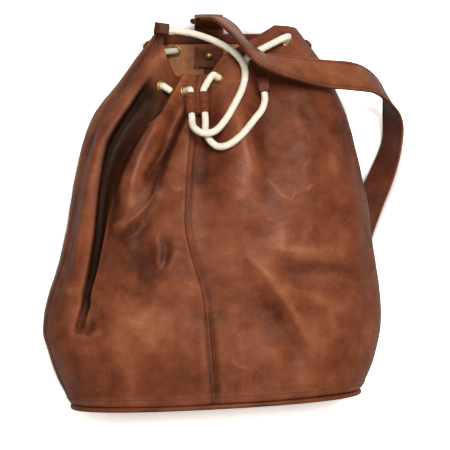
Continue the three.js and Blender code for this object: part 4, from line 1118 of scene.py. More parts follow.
    def sewing(self) -> None:
        """Rows of stitches along the seams, the rim and the base."""
        bag = self.bag
        share = np.linspace(0.012, 0.992, 320)
        rows = (("front_seam_left", bag.front_seam(share), 1), ("front_seam_right", bag.front_seam(share), -1),
                ("left_seam_front", bag.left_seam(share), -1), ("left_seam_back", bag.left_seam(share), 1),
                ("right_seam_front", bag.right_seam + 0 * share, 1),
                ("right_seam_back", bag.right_seam + 0 * share, -1))
        for name, seam, side in rows:
            scale = np.linalg.norm(bag.shell(seam + 0.5, share) - bag.shell(seam - 0.5, share), axis=-1)
            points, normal = bag.skin(seam + side * self.row_offset / scale, share)
            sewn = stitches(f"{name}_stitches", points, normal, self.stitch, self.thread)
            settle(sewn, self.library.thread, Slot.LEATHER)
        angle = np.linspace(0, 360, 721)
        for name, below, from_base in (("rim", 8.2, False), ("base", 7.5, True)):
            length = bag.rim(angle) - bag.base_y
            points, normal = bag.skin(angle, below / length if from_base else 1 - below / length)
            sewn = stitches(f"{name}_stitches", points, normal, self.stitch, self.thread)
            settle(sewn, self.library.thread, Slot.LEATHER)


@dataclass
class Base:
    """Base disc and the piping round it."""

    bag: BagShape
    library: Library
    welt_width: float = 4.6
    welt_height: float = 5
    welt_proud: float = 0.5
    panel: float = 3
    layer_gap: float = 0.3

    def build(self) -> None:
        """Makes the welt and the base panel."""
        skew = math.radians(self.bag.base_skew_deg)
        out_of_base = vec(math.sin(skew), -math.cos(skew), 0)
        angle = np.linspace(0, 360, 361)
        edge = self.bag.shell(angle, np.zeros_like(angle))
        run = unit(np.gradient(edge, axis=0))
        run[0] = run[-1] = unit(run[0] + run[-1])
        outward = np.cross(run, np.repeat(-out_of_base[None], len(run), axis=0))
        outward = unit(outward * np.sign(np.sum(outward * (edge - edge.mean(axis=0)), axis=1, keepdims=True)))
        turns = np.linspace(0, 2 * np.pi, 24, endpoint=False)
        section = np.stack([np.sign(np.cos(turns)) * np.abs(np.cos(turns)) ** 0.75 * self.welt_width / 2,
                            np.sign(np.sin(turns)) * np.abs(np.sin(turns)) ** 0.75 * self.welt_height / 2], axis=1)
        centre = edge + outward * (self.welt_proud - self.welt_width / 2) + out_of_base * (
            self.layer_gap + self.welt_height / 2)
        welt = sweep("base_welt_piping", centre, outward, np.repeat(out_of_base[None], len(edge), axis=0),
                     section, closed=True)
        facing = np.mean([np.dot(np.array(p.normal), np.array(p.center) / MM - centre[0]) > 0
                          for p in list(welt.data.polygons)[:1]])
        if facing < 0.5:
            welt.data.flip_normals()
        settle(welt, self.library.trim, Slot.LEATHER, "base_welt", pull=-0.1)
        disc, u, v = grid("base_leather", 180, 24)
        rim, centre_point = edge[np.rint(u * 360).astype(int)], edge.mean(axis=0)
        rim_out = outward[np.rint(u * 360).astype(int)]
        inset = rim - rim_out * (self.welt_width - self.welt_proud + self.layer_gap)
        spread = (1 - (1 - v) ** 1.6)[:, None]
        points = centre_point + (inset - centre_point) * spread
        wave = np.array([noise.noise(Vector(p / 50)) for p in points])
        rise = self.layer_gap + self.panel + 0.6 * wave * (1 - v ** 4)
        shape(disc, points + out_of_base * rise[:, None])
        weld(disc)
        if np.dot(np.array(disc.data.polygons[len(disc.data.polygons) // 2].normal), out_of_base) < 0:
            disc.data.flip_normals()
        solid = disc.modifiers.new("leather", "SOLIDIFY")
        solid.thickness = self.panel * MM * 0.8
        solid.offset = -1
        apply_all(disc)
        bpy.ops.object.shade_smooth()
        settle(disc, self.library.leather, Slot.LEATHER, "base_panel")


# Drawcord, eyelets, stopper and caps


@dataclass
class Drawcord:
    """Braided cord round the mouth, its eyelets, its stopper, its free ends and their caps."""

    bag: BagShape
    library: Library
    diameter: float = 7.6
    clearance: float = 0.5
    eyelet_below_rim: float = 18.5
    eyelet_wall: float = 0.6
    eyelet_flange: float = 1.5
    eyelet_angles: tuple[float, ...] = (110, 123, 134, 178, 206, 241, 301, 336, 364, 406, 435.5, 448)
    layer_gap: float = 0.3
    stopper_top: tuple[float, float, float] = (-17.5, 128, 110.93)
    slide_way: tuple[float, float, float] = (0.0621, -0.9108, 0.4081)
    stopper_length: float = 24
    stopper_pitch: float = 14
    stopper_wall: float = 1.9
    slide_reach: float = 6
    slide_back: float = 2
    straight_out: float = 4
    straight_in: float = 2.2
    tab_leather: float = 2.6
    cap_length: float = 16
    cap_width: float = 12
    cap_bore_depth: float = 10
    left_end: tuple[tuple[float, float, float], ...] = (
        (-19.3, 89.6, 135.6), (-10.3, 84.4, 140.6), (1.2, 86.3, 141.4), (11.7, 97.3, 137.6), (22.7, 116.2, 131),
        (30.1, 132.1, 124), (33.3, 148, 116), (31.2, 160, 112), (22.7, 171.3, 111), (1.3, 186, 97),
        (-20.8, 195, 88.5), (-39, 198.3, 88), (-58, 200.5, 90.5))
    right_end: tuple[tuple[float, float, float], ...] = (
        (-8, 86.5, 131.4), (-3.5, 77, 135.2), (4.5, 70.8, 139.8), (14, 71.5, 142.5),
        (28, 81.2, 141.3), (42.5, 99, 130), (51.5, 111.5, 124), (54, 121, 122), (53.3, 130, 120.5),
        (52.6, 138.5, 119.5))

    def __post_init__(self) -> None:
        """Finds the seats of the eyelets and the directions of the stopper."""
        angle = np.array(self.eyelet_angles)
        share = 1 - self.eyelet_below_rim / (self.bag.rim(angle) - self.bag.base_y)
        self.seats, self.normals, self.alongs = self.bag.frame(angle, share)
        self.way = unit(vec(*self.slide_way))
        self.side = unit(np.cross([0, 0, 1], self.way))

    def strand(self, side: int, depth: float) -> Array:
        """Place on one of the two strands in the stopper, a depth below its top."""
        return vec(*self.stopper_top) + self.side * side * self.stopper_pitch / 2 + self.way * depth

    def build(self) -> None:
        """Makes the cords first, then what is on them."""
        self.mouth()
        for name, side, route in (("left", -1, self.left_end), ("right", 1, self.right_end)):
            self.free_end(name, side, np.array(route, float))
        self.eyelets()
        self.stopper()

    def through(self, k: int) -> list[Array]:
        """Route points of the cord through one eyelet."""
        count = len(self.seats)
        gap = {}
        for outside in (True, False):
            other = (k + (-1 if outside == (k % 2 == 0) else 1)) % count
            gap[outside] = np.linalg.norm(self.seats[other] - self.seats[k])
        leather = self.bag.leather
        outside = [9, 5] if gap[True] > 30 else [3]
        inside = [-leather - 5, -leather - 9] if gap[False] > 30 else [-leather - 3]
        depths = [*outside, -leather / 2, *inside]
        points = [self.seats[k] + self.normals[k] * d for d in depths]
        return points if k % 2 == 0 else points[::-1]

    def mouth(self) -> None:
        """Length of cord that runs round the mouth through the eyelets."""
        split = self.stopper_length / 2
        depths = [split, -self.slide_back, -self.slide_back - self.straight_in]
        route = [self.strand(-1, d) for d in depths]
        below = 9
        seat, normal = Tab(self.bag, self.library).wall(below)[:2]
        past = 2 * self.layer_gap + 2 * self.tab_leather + self.diameter / 2 + 1
        for k in range(len(self.seats)):
            route += self.through(k)
            if k == 5:
                route += [seat + vec(dx, 0, 0) + normal * past for dx in (-20, 20)]
        route += [self.strand(1, d) for d in depths[::-1]]
        self.braid("drawcord_mouth", spline(np.array(route), 24))

    def free_end(self, name: str, side: int, route: Array) -> None:
        """One free end of the cord with its cap."""
        out = self.stopper_length + self.slide_reach
        depths = [self.stopper_length / 2 + self.layer_gap, self.stopper_length, out, out + self.straight_out]
        points = np.vstack([[self.strand(side, d) for d in depths], route])
        line = resample(spline(points, 24), 1.0)[0]
        obj = self.braid(f"drawcord_end_{name}", line)
        cap = self.cap(name, points[-1], unit(points[-1] - points[-2]))
        length = float(np.linalg.norm(np.diff(line, axis=0), axis=1).sum()) * MM
        LOG.info("free end %s: %.1f mm", name, length / MM)

    def braid(self, node: str, line: Array) -> bpy.types.Object:
        """Tube of braided yarns along a line, in place of a node."""
        line = resample(line, 0.85)[0]
        across, up = carried_frame(line)
        sides, yarns, lay = 40, 8, 15.0
        angle = np.linspace(0, 2 * np.pi, sides, endpoint=False)
        along = np.arange(len(line)) * 0.85
        one = yarns * (angle[None] / (2 * np.pi) + along[:, None] / lay)
        two = yarns * (angle[None] / (2 * np.pi) - along[:, None] / lay)
        first = np.abs(np.sin(np.pi * one))
        second = np.abs(np.sin(np.pi * two))
        over = (np.floor(one) + np.floor(two)) % 2 == 0
        proud = np.where(over, first * (0.45 + 0.55 * second), second * (0.45 + 0.55 * first))
        twist = np.where(over, one * 3 + along[:, None] / 1.2, two * 3 - along[:, None] / 1.2)
        radius = self.diameter / 2 - 0.62 * (1 - proud) ** 1.3
        section = np.stack([radius * np.cos(angle), radius * np.sin(angle)], axis=2)
        obj = sweep(f"{node}_braid", line, across, up, section, paints={"proud": proud, "twist": twist})
        settle(obj, self.library.cotton, Slot.CORD, node)
        return obj

    def eyelets(self) -> None:
        """Brass eyelets: a barrel with a rolled flange outside and a flat one inside."""
        bore = self.diameter / 2 + self.clearance
        barrel = bore + self.eyelet_wall
        flange = barrel + self.eyelet_flange
        leather = self.bag.leather
        for k, (seat, normal, along) in enumerate(zip(self.seats, self.normals, self.alongs)):
            parts = []
            for height, minor in ((self.layer_gap + 0.42, 0.52), (-leather - self.layer_gap - 0.36, 0.46)):
                bpy.ops.mesh.primitive_torus_add(major_radius=(bore + flange) / 2 * MM,
                                                 minor_radius=(flange - bore) / 2 * MM, major_segments=48,
                                                 minor_segments=14)
                ring = bpy.context.active_object
                flat = Matrix.Diagonal((1, 1, 2 * minor / (flange - bore), 1))
                parts.append(place(ring, Matrix.Translation((0, 0, height * MM)) @ flat))
            bpy.ops.mesh.primitive_cylinder_add(vertices=48, radius=(bore + self.eyelet_wall / 2) * MM,
                                                depth=(leather + 2 * self.layer_gap + 0.6) * MM,
                                                end_fill_type="NOTHING")
            tube = bpy.context.active_object
            wall = tube.modifiers.new("wall", "SOLIDIFY")
            wall.thickness = self.eyelet_wall * MM
            wall.offset = 0
            apply_all(tube)
            parts.append(place(tube, Matrix.Translation((0, 0, -leather / 2 * MM))))
            name = f"eyelet_{k + 1:02d}"
            obj = join(f"{name}_brass", parts)
            y = np.cross(normal, along)
            place(obj, basis(seat, np.cross(y, normal), y, normal))
            only(obj)
            bpy.ops.object.shade_smooth()
            settle(obj, self.library.brass, Slot.BRASS, name)

    def stopper(self) -> None:
        """Leather sleeve with two channels, sewn down its middle."""
        channel = self.diameter / 2 + self.clearance - 0.1
        outside = channel + self.stopper_wall
        across, up = self.side, np.cross(self.way, self.side)
        turns = np.linspace(0, 2 * np.pi, 20, endpoint=False)
        parts = []
        depth = np.linspace(0.4, self.stopper_length - 0.4, 40)
        for side in (-1, 1):
            waves = [(outside + 0.12 * math.sin(d * 0.9 + side), d) for d in depth[1:-1]]
            profile = [(outside - 0.5, 0), (outside, 0.8), *waves, (outside, self.stopper_length - 0.8), (outside - 0.5, self.stopper_length),
                       (channel + 0.3, self.stopper_length), (channel, self.stopper_length - 0.6), (channel, 0.6),
                       (channel + 0.3, 0), (outside - 0.5, 0)]
            ring, u, v = grid(f"channel_{side}", 40, len(profile) - 1)
            row = np.rint(v * (len(profile) - 1)).astype(int)
            radius, run = np.array(profile)[row].T
            angle = 2 * np.pi * u
            middle = vec(*self.stopper_top) + across * side * self.stopper_pitch / 2
            shape(ring, middle + across * (radius * np.cos(angle))[:, None]
                  + up * (radius * np.sin(angle))[:, None] + self.way * run[:, None])
            parts.append(weld(ring))
        line = vec(*self.stopper_top) + self.way * np.linspace(0.3, self.stopper_length - 0.3, 14)[:, None]
        web = np.stack([2.9 * np.cos(turns), np.sign(np.sin(turns)) * np.abs(np.sin(turns)) ** 0.5 * 3.6], axis=1)
        parts.append(sweep("web", line, np.repeat(across[None], 14, axis=0), np.repeat(up[None], 14, axis=0), web))
        obj = join("cord_stopper_leather", parts)
        only(obj)
        bpy.ops.object.shade_smooth()
        settle(obj, self.library.trim, Slot.LEATHER, "cord_stopper", Body.STOPPER, pull=-0.25, polish=0.8)
        top = line[1:-1] + up * 3.6
        sewn = stitches("stopper_stitches", top, np.repeat(up[None], len(top), axis=0), 2.6, 0.8)
        settle(sewn, self.library.thread, Slot.LEATHER, body=Body.STOPPER)

    def cap(self, name: str, end: Array, run: Array) -> list[bpy.types.Object]:
        """Leather cap folded over the end of the cord and sewn shut."""
        across = unit(np.cross([0, 0, 1], run))
        up = np.cross(run, across)
        start = end + run * (self.layer_gap - self.cap_bore_depth)
        bpy.ops.mesh.primitive_cube_add(size=1)
        obj = bpy.context.active_object
        obj.name = f"cord_cap_{name}_leather"
        obj.scale = (self.cap_width * MM, self.cap_width * 0.9 * MM, self.cap_length * MM)
        obj.location = (0, 0, self.cap_length / 2 * MM)
        bpy.ops.object.transform_apply(location=True, scale=True)
        bpy.ops.object.mode_set(mode="EDIT")
        bpy.ops.mesh.select_all(action="SELECT")
        bpy.ops.mesh.subdivide(number_cuts=5)
        bpy.ops.object.mode_set(mode="OBJECT")
        for vertex in obj.data.vertices:
            far = max(vertex.co.z / MM - self.cap_bore_depth, 0) / (self.cap_length - self.cap_bore_depth)
            vertex.co.y *= 1 - 0.5 * far
            vertex.co.x *= 1 + 0.08 * far
        bevel = obj.modifiers.new("edges", "BEVEL")
        bevel.width = 1.1 * MM
        bevel.segments = 2
        bevel.limit_method = "ANGLE"
        soft = obj.modifiers.new("soft", "SUBSURF")
        soft.levels = 1
        soft.render_levels = 1
        apply_all(obj)
        bpy.ops.object.shade_smooth()
        place(obj, basis(start, across, up, run))
        settle(obj, self.library.trim, Slot.LEATHER, f"cord_cap_{name}", pull=-0.55)
        rows = []
        for side in (-1, 1):
            at = np.linspace(2.2, self.cap_length - 2.2, 6)
            lift = self.cap_width * 0.45 * (1 - 0.5 * np.clip((at - self.cap_bore_depth)
                                                              / (self.cap_length - self.cap_bore_depth), 0, 1))
            line = (start + run * at[:, None] + across * side * (self.cap_width / 2 - 2)
                    + up * (lift - 0.1)[:, None])
            rows.append(stitches(f"cap_{name}_row_{side}", line, np.repeat(up[None], 6, axis=0), 2.4, 0.8))
        sewn = join(f"cap_{name}_stitches", rows)
        settle(sewn, self.library.thread, Slot.LEATHER)
        return [obj, sewn]


# Strap, back tab, rings and key holder


def fold_line(bar: Array, away: Array, face: Array, hollow: float, thickness: float, gap: float, leg_a: float,
              leg_b: float) -> tuple[Array, Array]:
    """Band of leather folded round a bar: control points and outward directions, from leg to leg."""
    radius = hollow + thickness / 2
    half = gap / 2 + thickness / 2

    def leg(side: int, far: float) -> list[tuple[float, float, float, float]]:
        """Stations of one leg, from its end to the bend."""
        return [(far, side * half, 0, side), (2.6 * radius, side * half, 0, side),
                (1.3 * radius, side * (half + (radius - half) * 0.6), 0, side)]

    bend = [(radius * math.cos(t), radius * math.sin(t), math.cos(t), math.sin(t))
            for t in np.radians(np.linspace(-90, -270, 7))]
    stations = np.array([*leg(-1, leg_a), *bend, *leg(1, leg_b)[::-1]])
    points = bar + stations[:, :1] * away + stations[:, 1:2] * face
    return points, unit(stations[:, 2:3] * away + stations[:, 3:] * face)


def band(name: str, line: Array, normal: Array, width: float, low: float, high: float, crown: float,
         inset: float) -> tuple[bpy.types.Object, Array, Array, Array]:
    """Leather band along a line.

    Returns:
        The object, and the line's points, left directions and squared normals.
    """
    run = tangents(line)
    left = unit(np.cross(normal, run))
    squared = np.cross(run, left)
    section = band_section(width, low, high, crown, inset)
    sewn = np.exp(-((np.abs(section[:, 0]) - (width / 2 - inset)) / 0.9) ** 2) * (section[:, 1] > (low + high) / 2)
    painted_shade_and_seams = np.repeat(0.3 * sewn[None], len(line), axis=0)
    obj = sweep(name, line, left, squared, section, paints={"painted_shade_and_seams": painted_shade_and_seams})
    return obj, line, left, squared


@dataclass
class Tab:
    """Tab on the back that holds the strap ring, and the key holder on its other side."""

    bag: BagShape
    library: Library
    angle: float = 266
    x: float = -6
    width: float = 33
    leather: float = 2.6
    leg: float = 44
    past_rim: float = 12
    seat: float = 0.6
    layer_gap: float = 0.3
    ring_wire: float = 3.5
    patch_width: float = 33
    patch_length: float = 24
    patch_below_rim: float = 25
    patch_leather: float = 1.8
    loop_width: float = 10
    loop_leather: float = 1.4
    loop_tucked_leg: float = 14
    loop_short_leg: float = 7
    key_wire: float = 2.4
    key_bar_below_rim: float = 45
    rivet_head: float = 4.4
    rivet_height: float = 1.6

    def wall(self, below: float) -> tuple[Array, Array, Array]:
        """Flat frame on the back wall a distance below the rim: point, outward normal, direction to the rim."""
        share = 1 - below / (self.bag.rim_y - self.bag.base_y)
        point, normal, along = self.bag.frame(np.array(self.angle), np.array(share))
        flat = vec(0, 1, 1)
        return vec(self.x, point[1], point[2]), unit(normal * flat), unit(along * flat)

    def lower_bar(self) -> Array:
        """Middle of the ring's bar in the tab."""
        point, normal, along = self.wall(0)
        return point + normal * (self.seat + self.leather + self.layer_gap / 2) + along * self.past_rim

    def build(self) -> None:
        """Makes the tab, the key patch, the key loop and the rivet through them."""
        _, normal, along = self.wall(0)
        points, faces = fold_line(self.lower_bar(), -along, normal, self.ring_wire / 2 + self.layer_gap,
                                  self.leather, self.layer_gap, self.leg, self.leg)
        line = resample(spline(points, 8, False), 1.6, spline(faces, 8, False))
        tab, line, left, squared = band("back_tab_leather", line[0], unit(line[1]), self.width, -self.leather / 2,
                                        self.leather / 2, 0.2, 3)
        self.dress(tab, "back_tab", self.library.trim, Slot.LEATHER)
        self.edge_rows("tab_stitches", line, left, squared, self.width / 2 - 3, self.leather / 2)
        self.key_holder()

    def dress(self, obj: bpy.types.Object, node: str, material: bpy.types.Material, slot: Slot,
              pull: float = -0.05) -> None:
        """Dresses a band that hands have half polished."""
        settle(obj, material, slot, node, pull=pull, polish=0.5)

    def edge_rows(self, name: str, line: Array, left: Array, normal: Array, reach: float, height: float) -> None:
        """Stitches along both edges of a band."""
        rows = [stitches(f"{name}_{side}", line + left * side * reach + normal * (height - 0.1), normal, 3.6, 0.95)
                for side in (-1, 1)]
        sewn = join(name, rows)
        settle(sewn, self.library.thread, Slot.LEATHER)

    def key_holder(self) -> None:
        """Patch, loop and rivet inside the back."""
        point, normal, along = self.wall(self.patch_below_rim)
        inward = -normal
        lift = self.bag.leather + 2 * self.layer_gap + self.loop_leather
        steps = np.linspace(-self.patch_length / 2, self.patch_length / 2, 12)[:, None]
        patch, _, left, _ = band("key_patch_leather", point + along * steps,
                                 np.repeat(inward[None], 12, axis=0), self.patch_width, lift,
                                 lift + self.patch_leather, 0.3, 3)
        # Painted light: the key patch is made paler to stand in for light it lacks inside the mouth
        self.dress(patch, "key_patch", self.library.trim, Slot.LEATHER, 0.8)
        across = left[0]
        reach_x, reach_y = self.patch_width / 2 - 2.6, self.patch_length / 2 - 2.6
        corners = [(-1, -1), (1, -1), (1, 1), (-1, 1), (-1, -1)]
        sides = [np.linspace(a, b, 12, endpoint=False) for a, b in zip(corners[:-1], corners[1:])]
        outline = np.vstack(sides + [corners[:1]])
        border = point + across * outline[:, :1] * reach_x + along * outline[:, 1:] * reach_y + inward * (
            lift + self.patch_leather)
        sewn = stitches("patch_stitches", border, np.repeat(inward[None], len(border), axis=0), 2.7, 0.85)
        settle(sewn, self.library.thread, Slot.LEATHER)
        self.rivet("tab_rivet", point, inward, along, lift + self.patch_leather)
        self.key_loop()

    def key_loop(self) -> None:
        """Narrow loop that holds the D ring."""
        point, normal, along = self.wall(self.key_bar_below_rim)
        inward = -normal
        hollow = self.key_wire / 2 + self.layer_gap
        bar = point + inward * (self.bag.leather + self.layer_gap + self.loop_leather + hollow)
        points, faces = fold_line(bar, along, inward, hollow, self.loop_leather, self.layer_gap,
                                  self.loop_tucked_leg, self.loop_short_leg)
        drop = hollow - self.layer_gap / 2
        points[:3] -= inward * drop * np.array([[1], [1], [0.4]])
        line, normals = resample(spline(points, 8, False), 0.8, spline(faces, 8, False))
        loop = band("key_loop_leather", line, unit(normals), self.loop_width, -self.loop_leather / 2,
                    self.loop_leather / 2, 0.1, 2)[0]
        self.dress(loop, "key_loop", self.library.lining, Slot.STRAP_LINING)

    def rivet(self, node: str, point: Array, out: Array, along: Array, top: float) -> None:
        """Domed rivet head with a narrow rim."""
        bpy.ops.mesh.primitive_uv_sphere_add(segments=40, ring_count=20, radius=1)
        dome = bpy.context.active_object
        dome.scale = (self.rivet_head * MM, self.rivet_head * MM, self.rivet_height * MM)
        bpy.ops.object.transform_apply(scale=True)
        bpy.ops.object.mode_set(mode="EDIT")
        bpy.ops.mesh.select_all(action="SELECT")
        bpy.ops.mesh.bisect(plane_co=(0, 0, 0), plane_no=(0, 0, 1), clear_inner=True, use_fill=True)
        bpy.ops.object.mode_set(mode="OBJECT")
        place(dome, Matrix.Translation((0, 0, (top + self.layer_gap) * MM)))
        bpy.ops.mesh.primitive_torus_add(major_radius=(self.rivet_head - 0.35) * MM, minor_radius=0.45 * MM,
                                         major_segments=40, minor_segments=10)
        rim = place(bpy.context.active_object, Matrix.Translation((0, 0, (top + self.layer_gap + 0.3) * MM)))
        bpy.ops.mesh.primitive_cylinder_add(vertices=24, radius=1.8 * MM, depth=9 * MM)
        shank = place(bpy.context.active_object, Matrix.Translation((0, 0, (top - 4.2) * MM)))
        obj = join(f"{node}_brass", [dome, rim, shank])
        y = np.cross(out, along)
        place(obj, basis(point, np.cross(y, out), y, out))
        only(obj)
        bpy.ops.object.shade_smooth()
        settle(obj, self.library.brass, Slot.BRASS, node)


@dataclass
class Strap:
    """Shoulder strap of two layers, from the ring over the mouth and down the right side to the base."""

    bag: BagShape
    library: Library
    tab: Tab
    width: float = 32
    face: float = 2
    lining: float = 1.6
    layer_gap: float = 0.3
    inner_leg: float = 26
    outer_leg: float = 20
    start: float = 22
    ring_pitch: float = 16.5
    ring_slack: float = 2.2
    end_angle: float = -29
    end_shares: tuple[float, ...] = (0.15, 0.11, 0.072, 0.03)
    rivet_shares: tuple[float, ...] = (0.05, 0.095)
    stations: tuple[tuple[float, ...], ...] = (
        (-1, 213, 78, 0.08, 0.97, 0.22), (12, 205, 98, 0.4, 0.88, 0.25), (28, 185, 120, 0.62, 0.72, 0.27),
        (46, 166, 133, 0.42, 0.82, 0.4), (58, 159, 134, 0.3, 0.77, 0.56), (82, 154, 126, 0.12, 0.58, 0.8),
        (117, 150, 108, 0.24, 0.3, 0.92),
        (147, 149, 94, 0.42, 0.22, 0.86), (172, 145, 74, 0.72, 0.48, 0.5), (191, 131, 48, 0.95, 0.3, -0.05),
        (200, 108, 32, 0.82, 0.05, -0.57), (200, 79, 22, 0.8, -0.05, -0.6), (190, 46, 15.5, 0.6, -0.1, -0.8),
        (176, 12, 10, 0.36, -0.1, -0.93), (163, -25, 7.2, 0.1, -0.03, -1), (156, -62, 7, 0.06, 0.02, -1),
        (156, -98, 11.5, 0.3, 0.05, -0.95))

    def build(self) -> None:
        """Makes both layers, their stitches and the rivets of the lower end."""
        lean = unit(vec(0, 0.05, 1))
        upper_bar = self.tab.lower_bar() + lean * self.ring_pitch
        up, out = unit(vec(0, -0.15, 1)), unit(vec(0, 1, 0.15))
        middle = self.layer_gap + self.lining + self.layer_gap / 2
        shares = np.array(self.end_shares)
        end, end_normal, _ = self.bag.frame(np.full(len(shares), self.end_angle), shares)
        table = np.array(self.stations)
        points = np.vstack([upper_bar + up * self.start, table[:, :3], end + end_normal * middle])
        normals = np.vstack([out, unit(table[:, 3:]), end_normal])
        way, faces = spline(points, 14, False), unit(spline(normals, 14, False))
        face_low, face_high = self.layer_gap / 2, self.layer_gap / 2 + self.face
        loop, loop_faces = fold_line(upper_bar, up, out, self.tab.ring_wire / 2 + self.ring_slack, self.face,
                                     self.layer_gap, self.inner_leg, self.outer_leg)
        loop = loop[:-1] - loop_faces[:-1] * (face_low + face_high) / 2
        loop_line = spline(np.vstack([loop, way[:1]]), 8, False)[:-1]
        loop_normal = unit(spline(np.vstack([loop_faces[:-1], faces[:1]]), 8, False)[:-1])
        line, normal = resample(np.vstack([loop_line, way]), 1.7, np.vstack([loop_normal, faces]))
        face, line, left, squared = band("strap_face_leather", line, unit(normal), self.width, face_low,
                                         face_high, 0.35, 3)
        self.tab.dress(face, "strap_face", self.library.leather, Slot.LEATHER, 0.25)
        self.tab.edge_rows("strap_face_stitches", line[30:], left[30:], squared[30:], self.width / 2 - 3,
                           face_high)
        line, normal = resample(way[14:], 1.7, faces[14:])
        lining, line, left, squared = band("strap_lining_leather", line, unit(normal), self.width,
                                           -self.layer_gap / 2 - self.lining, -self.layer_gap / 2, 0.0, 3)
        self.tab.dress(lining, "strap_lining", self.library.lining, Slot.STRAP_LINING)
        self.tab.edge_rows("strap_lining_stitches", line, left, -squared, self.width / 2 - 3,
                           self.layer_gap / 2 + self.lining)
        for k, share in enumerate(self.rivet_shares):
            point, out_way, along = self.bag.frame(np.array(self.end_angle), np.array(share))
            self.tab.rivet(f"strap_rivet_{k + 1}", point, out_way, along,
                           2 * self.layer_gap + self.lining + self.face)


@dataclass
class Fittings:
    """The two wire rings, rounded from copies of their solids, and the stiffener, which keeps its solid."""

    nodes: dict[str, bpy.types.Object]
    library: Library

    def build(self) -> None:
        """Makes both rings and gives the stiffener its material."""
        self.ring("strap_ring", Body.STRAP_RING, self.library.gunmetal, Slot.DARK_METAL)
        self.ring("key_ring", Body.KEY_RING, self.library.nickel, Slot.BRIGHT_METAL)
        board = self.nodes["base_board"].data
        board.materials.clear()
        board.materials.append(self.library.board)

    def ring(self, node: str, body: Body, material: bpy.types.Material, slot: Slot) -> None:
        """Round wire from a copy of a ring's solid, whose loose triangles are merged first.

        Args:
            node: CAD node that the wire replaces.
            body: Body that it rides on.
            material: Metal of the wire.
            slot: Material slot of the record.
        """
        obj = bpy.data.objects.new(f"{node}_wire", self.nodes[node].data.copy())
        bpy.context.scene.collection.objects.link(obj)
        weld(obj)
        soft = obj.modifiers.new("round_wire", "SUBSURF")
        soft.levels = 2
        soft.render_levels = 2
        apply_all(obj)
        obj.data.materials.clear()
        settle(obj, material, slot, node, body)


# Studio


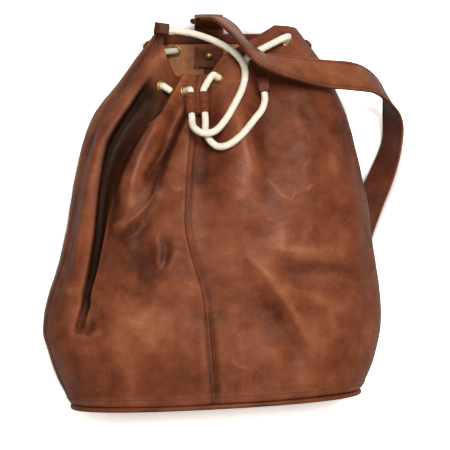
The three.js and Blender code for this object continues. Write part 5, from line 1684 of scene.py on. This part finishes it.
@dataclass(frozen=True)
class Studio:
    """Camera straight above, soft light from above the mouth, white table."""

    camera_at: tuple[float, float, float] = (0.0121, -0.011, 1.5)
    lens_mm: float = 104.7
    sensor_mm: float = 36
    key_at: tuple[float, float, float] = (0.3, 0.75, 2.0)
    key_size: float = 1.0
    key_watts: float = 47
    fill_at: tuple[float, float, float] = (0.5, -0.9, 1.5)
    fill_size: float = 1.2
    fill_watts: float = 8
    world_strength: float = 0.18
    table_glow: float = 0.12
    table_doublings: int = 2
    shade_reach: float = 0.04
    shade_depth: float = 3.2
    mirrored_sky: float = 0.35
    mirrored_table: float = 0.6
    floor_half: float = 3.0
    white: str = "#fffefb"
    table: str = "#f3f2f0"

    def camera(self) -> None:
        """Camera looking straight down, the mouth of the bag at the top."""
        data = bpy.data.cameras.new("camera")
        data.lens = self.lens_mm
        data.sensor_width = self.sensor_mm
        obj = bpy.data.objects.new("camera", data)
        obj.location = self.camera_at
        bpy.context.scene.collection.objects.link(obj)
        bpy.context.scene.camera = obj

    def lights(self) -> None:
        """Soft key light, weak fill and an even sky."""
        for name, at, size, watts in (("key_light", self.key_at, self.key_size, self.key_watts),
                                      ("fill_light", self.fill_at, self.fill_size, self.fill_watts)):
            data = bpy.data.lights.new(name, "AREA")
            data.energy = watts
            data.size = size
            obj = bpy.data.objects.new(name, data)
            obj.location = at
            obj.rotation_euler = (-Vector(at)).to_track_quat("-Z", "Y").to_euler()
            bpy.context.scene.collection.objects.link(obj)
        world = bpy.data.worlds.new("even_sky")
        world.use_nodes = True
        tree = world.node_tree
        tree.nodes.clear()
        ray = add_node(tree, Kind.LIGHT_PATH).outputs
        strength = self.world_strength
        for kind, seen in (("Is Glossy Ray", self.mirrored_sky), ("Is Transmission Ray", 1.0),
                           ("Is Camera Ray", 1.0)):
            strength = add_node(tree, Kind.MIX, {0: ray[kind], 2: strength, 3: seen})
        sky = add_node(tree, Kind.BACKGROUND, {"Color": self.white, "Strength": strength})
        add_node(tree, Kind.WORLD_OUTPUT, {0: sky})
        bpy.context.scene.world = world
        bpy.context.scene.view_settings.view_transform = "Standard"

    def floor(self) -> None:
        """White table that keeps the bag's soft shadow, and a painted contact shadow next to the bag."""
        bpy.ops.mesh.primitive_plane_add(size=2 * self.floor_half)
        obj = bpy.context.active_object
        obj.name = "table"
        material = bpy.data.materials.new("white_table")
        material.use_nodes = True
        tree = material.node_tree
        tree.nodes.clear()
        matt = add_node(tree, Kind.DIFFUSE, {"Color": self.table})
        glow = add_node(tree, Kind.EMISSION, {"Color": self.white, "Strength": self.table_glow})
        # Painted contact shadow: the table's colour darkened by how closely the bag hems it in
        close = add_node(tree, Kind.CLOSENESS, {"Color": self.table, "Distance": self.shade_reach})
        painted_contact_shadow = add_node(tree, Kind.GAMMA, {"Color": close, "Gamma": self.shade_depth})
        bright = add_node(tree, Kind.DIFFUSE, {"Color": painted_contact_shadow})
        for _ in range(self.table_doublings):
            bright = add_node(tree, Kind.ADD_SHADER, {0: bright, 1: bright})
        lit = add_node(tree, Kind.ADD_SHADER, {0: bright, 1: glow})
        mirror = add_node(tree, Kind.EMISSION, {"Color": self.white, "Strength": self.mirrored_table})
        ray = add_node(tree, Kind.LIGHT_PATH).outputs
        seen = matt
        for kind, shader in (("Is Glossy Ray", mirror), ("Is Transmission Ray", mirror),
                             ("Is Camera Ray", lit)):
            seen = add_node(tree, Kind.MIX_SHADER, {0: ray[kind], 1: seen, 2: shader})
        add_node(tree, Kind.OUTPUT, {0: seen})
        obj.data.materials.append(material)


def main() -> None:
    """Builds the bag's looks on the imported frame."""
    logging.basicConfig(level=logging.INFO, format="%(message)s")
    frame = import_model()
    studio = Studio()
    studio.camera()
    bag = BagShape()
    library = Library()
    cord = Drawcord(bag, library)
    cord.build()
    Panels(bag, library).build(cord.seats)
    Base(bag, library).build()
    tab = Tab(bag, library)
    tab.build()
    Strap(bag, library, tab).build()
    Fittings(frame["nodes"], library).build()
    for piece in bpy.context.scene.objects:
        if piece.type == "MESH" and piece.name not in frame["nodes"]:
            LOG.info("%s: %d faces", piece.name, len(piece.data.polygons))
    studio.lights()
    studio.floor()


if __name__ == "__main__":
    main()
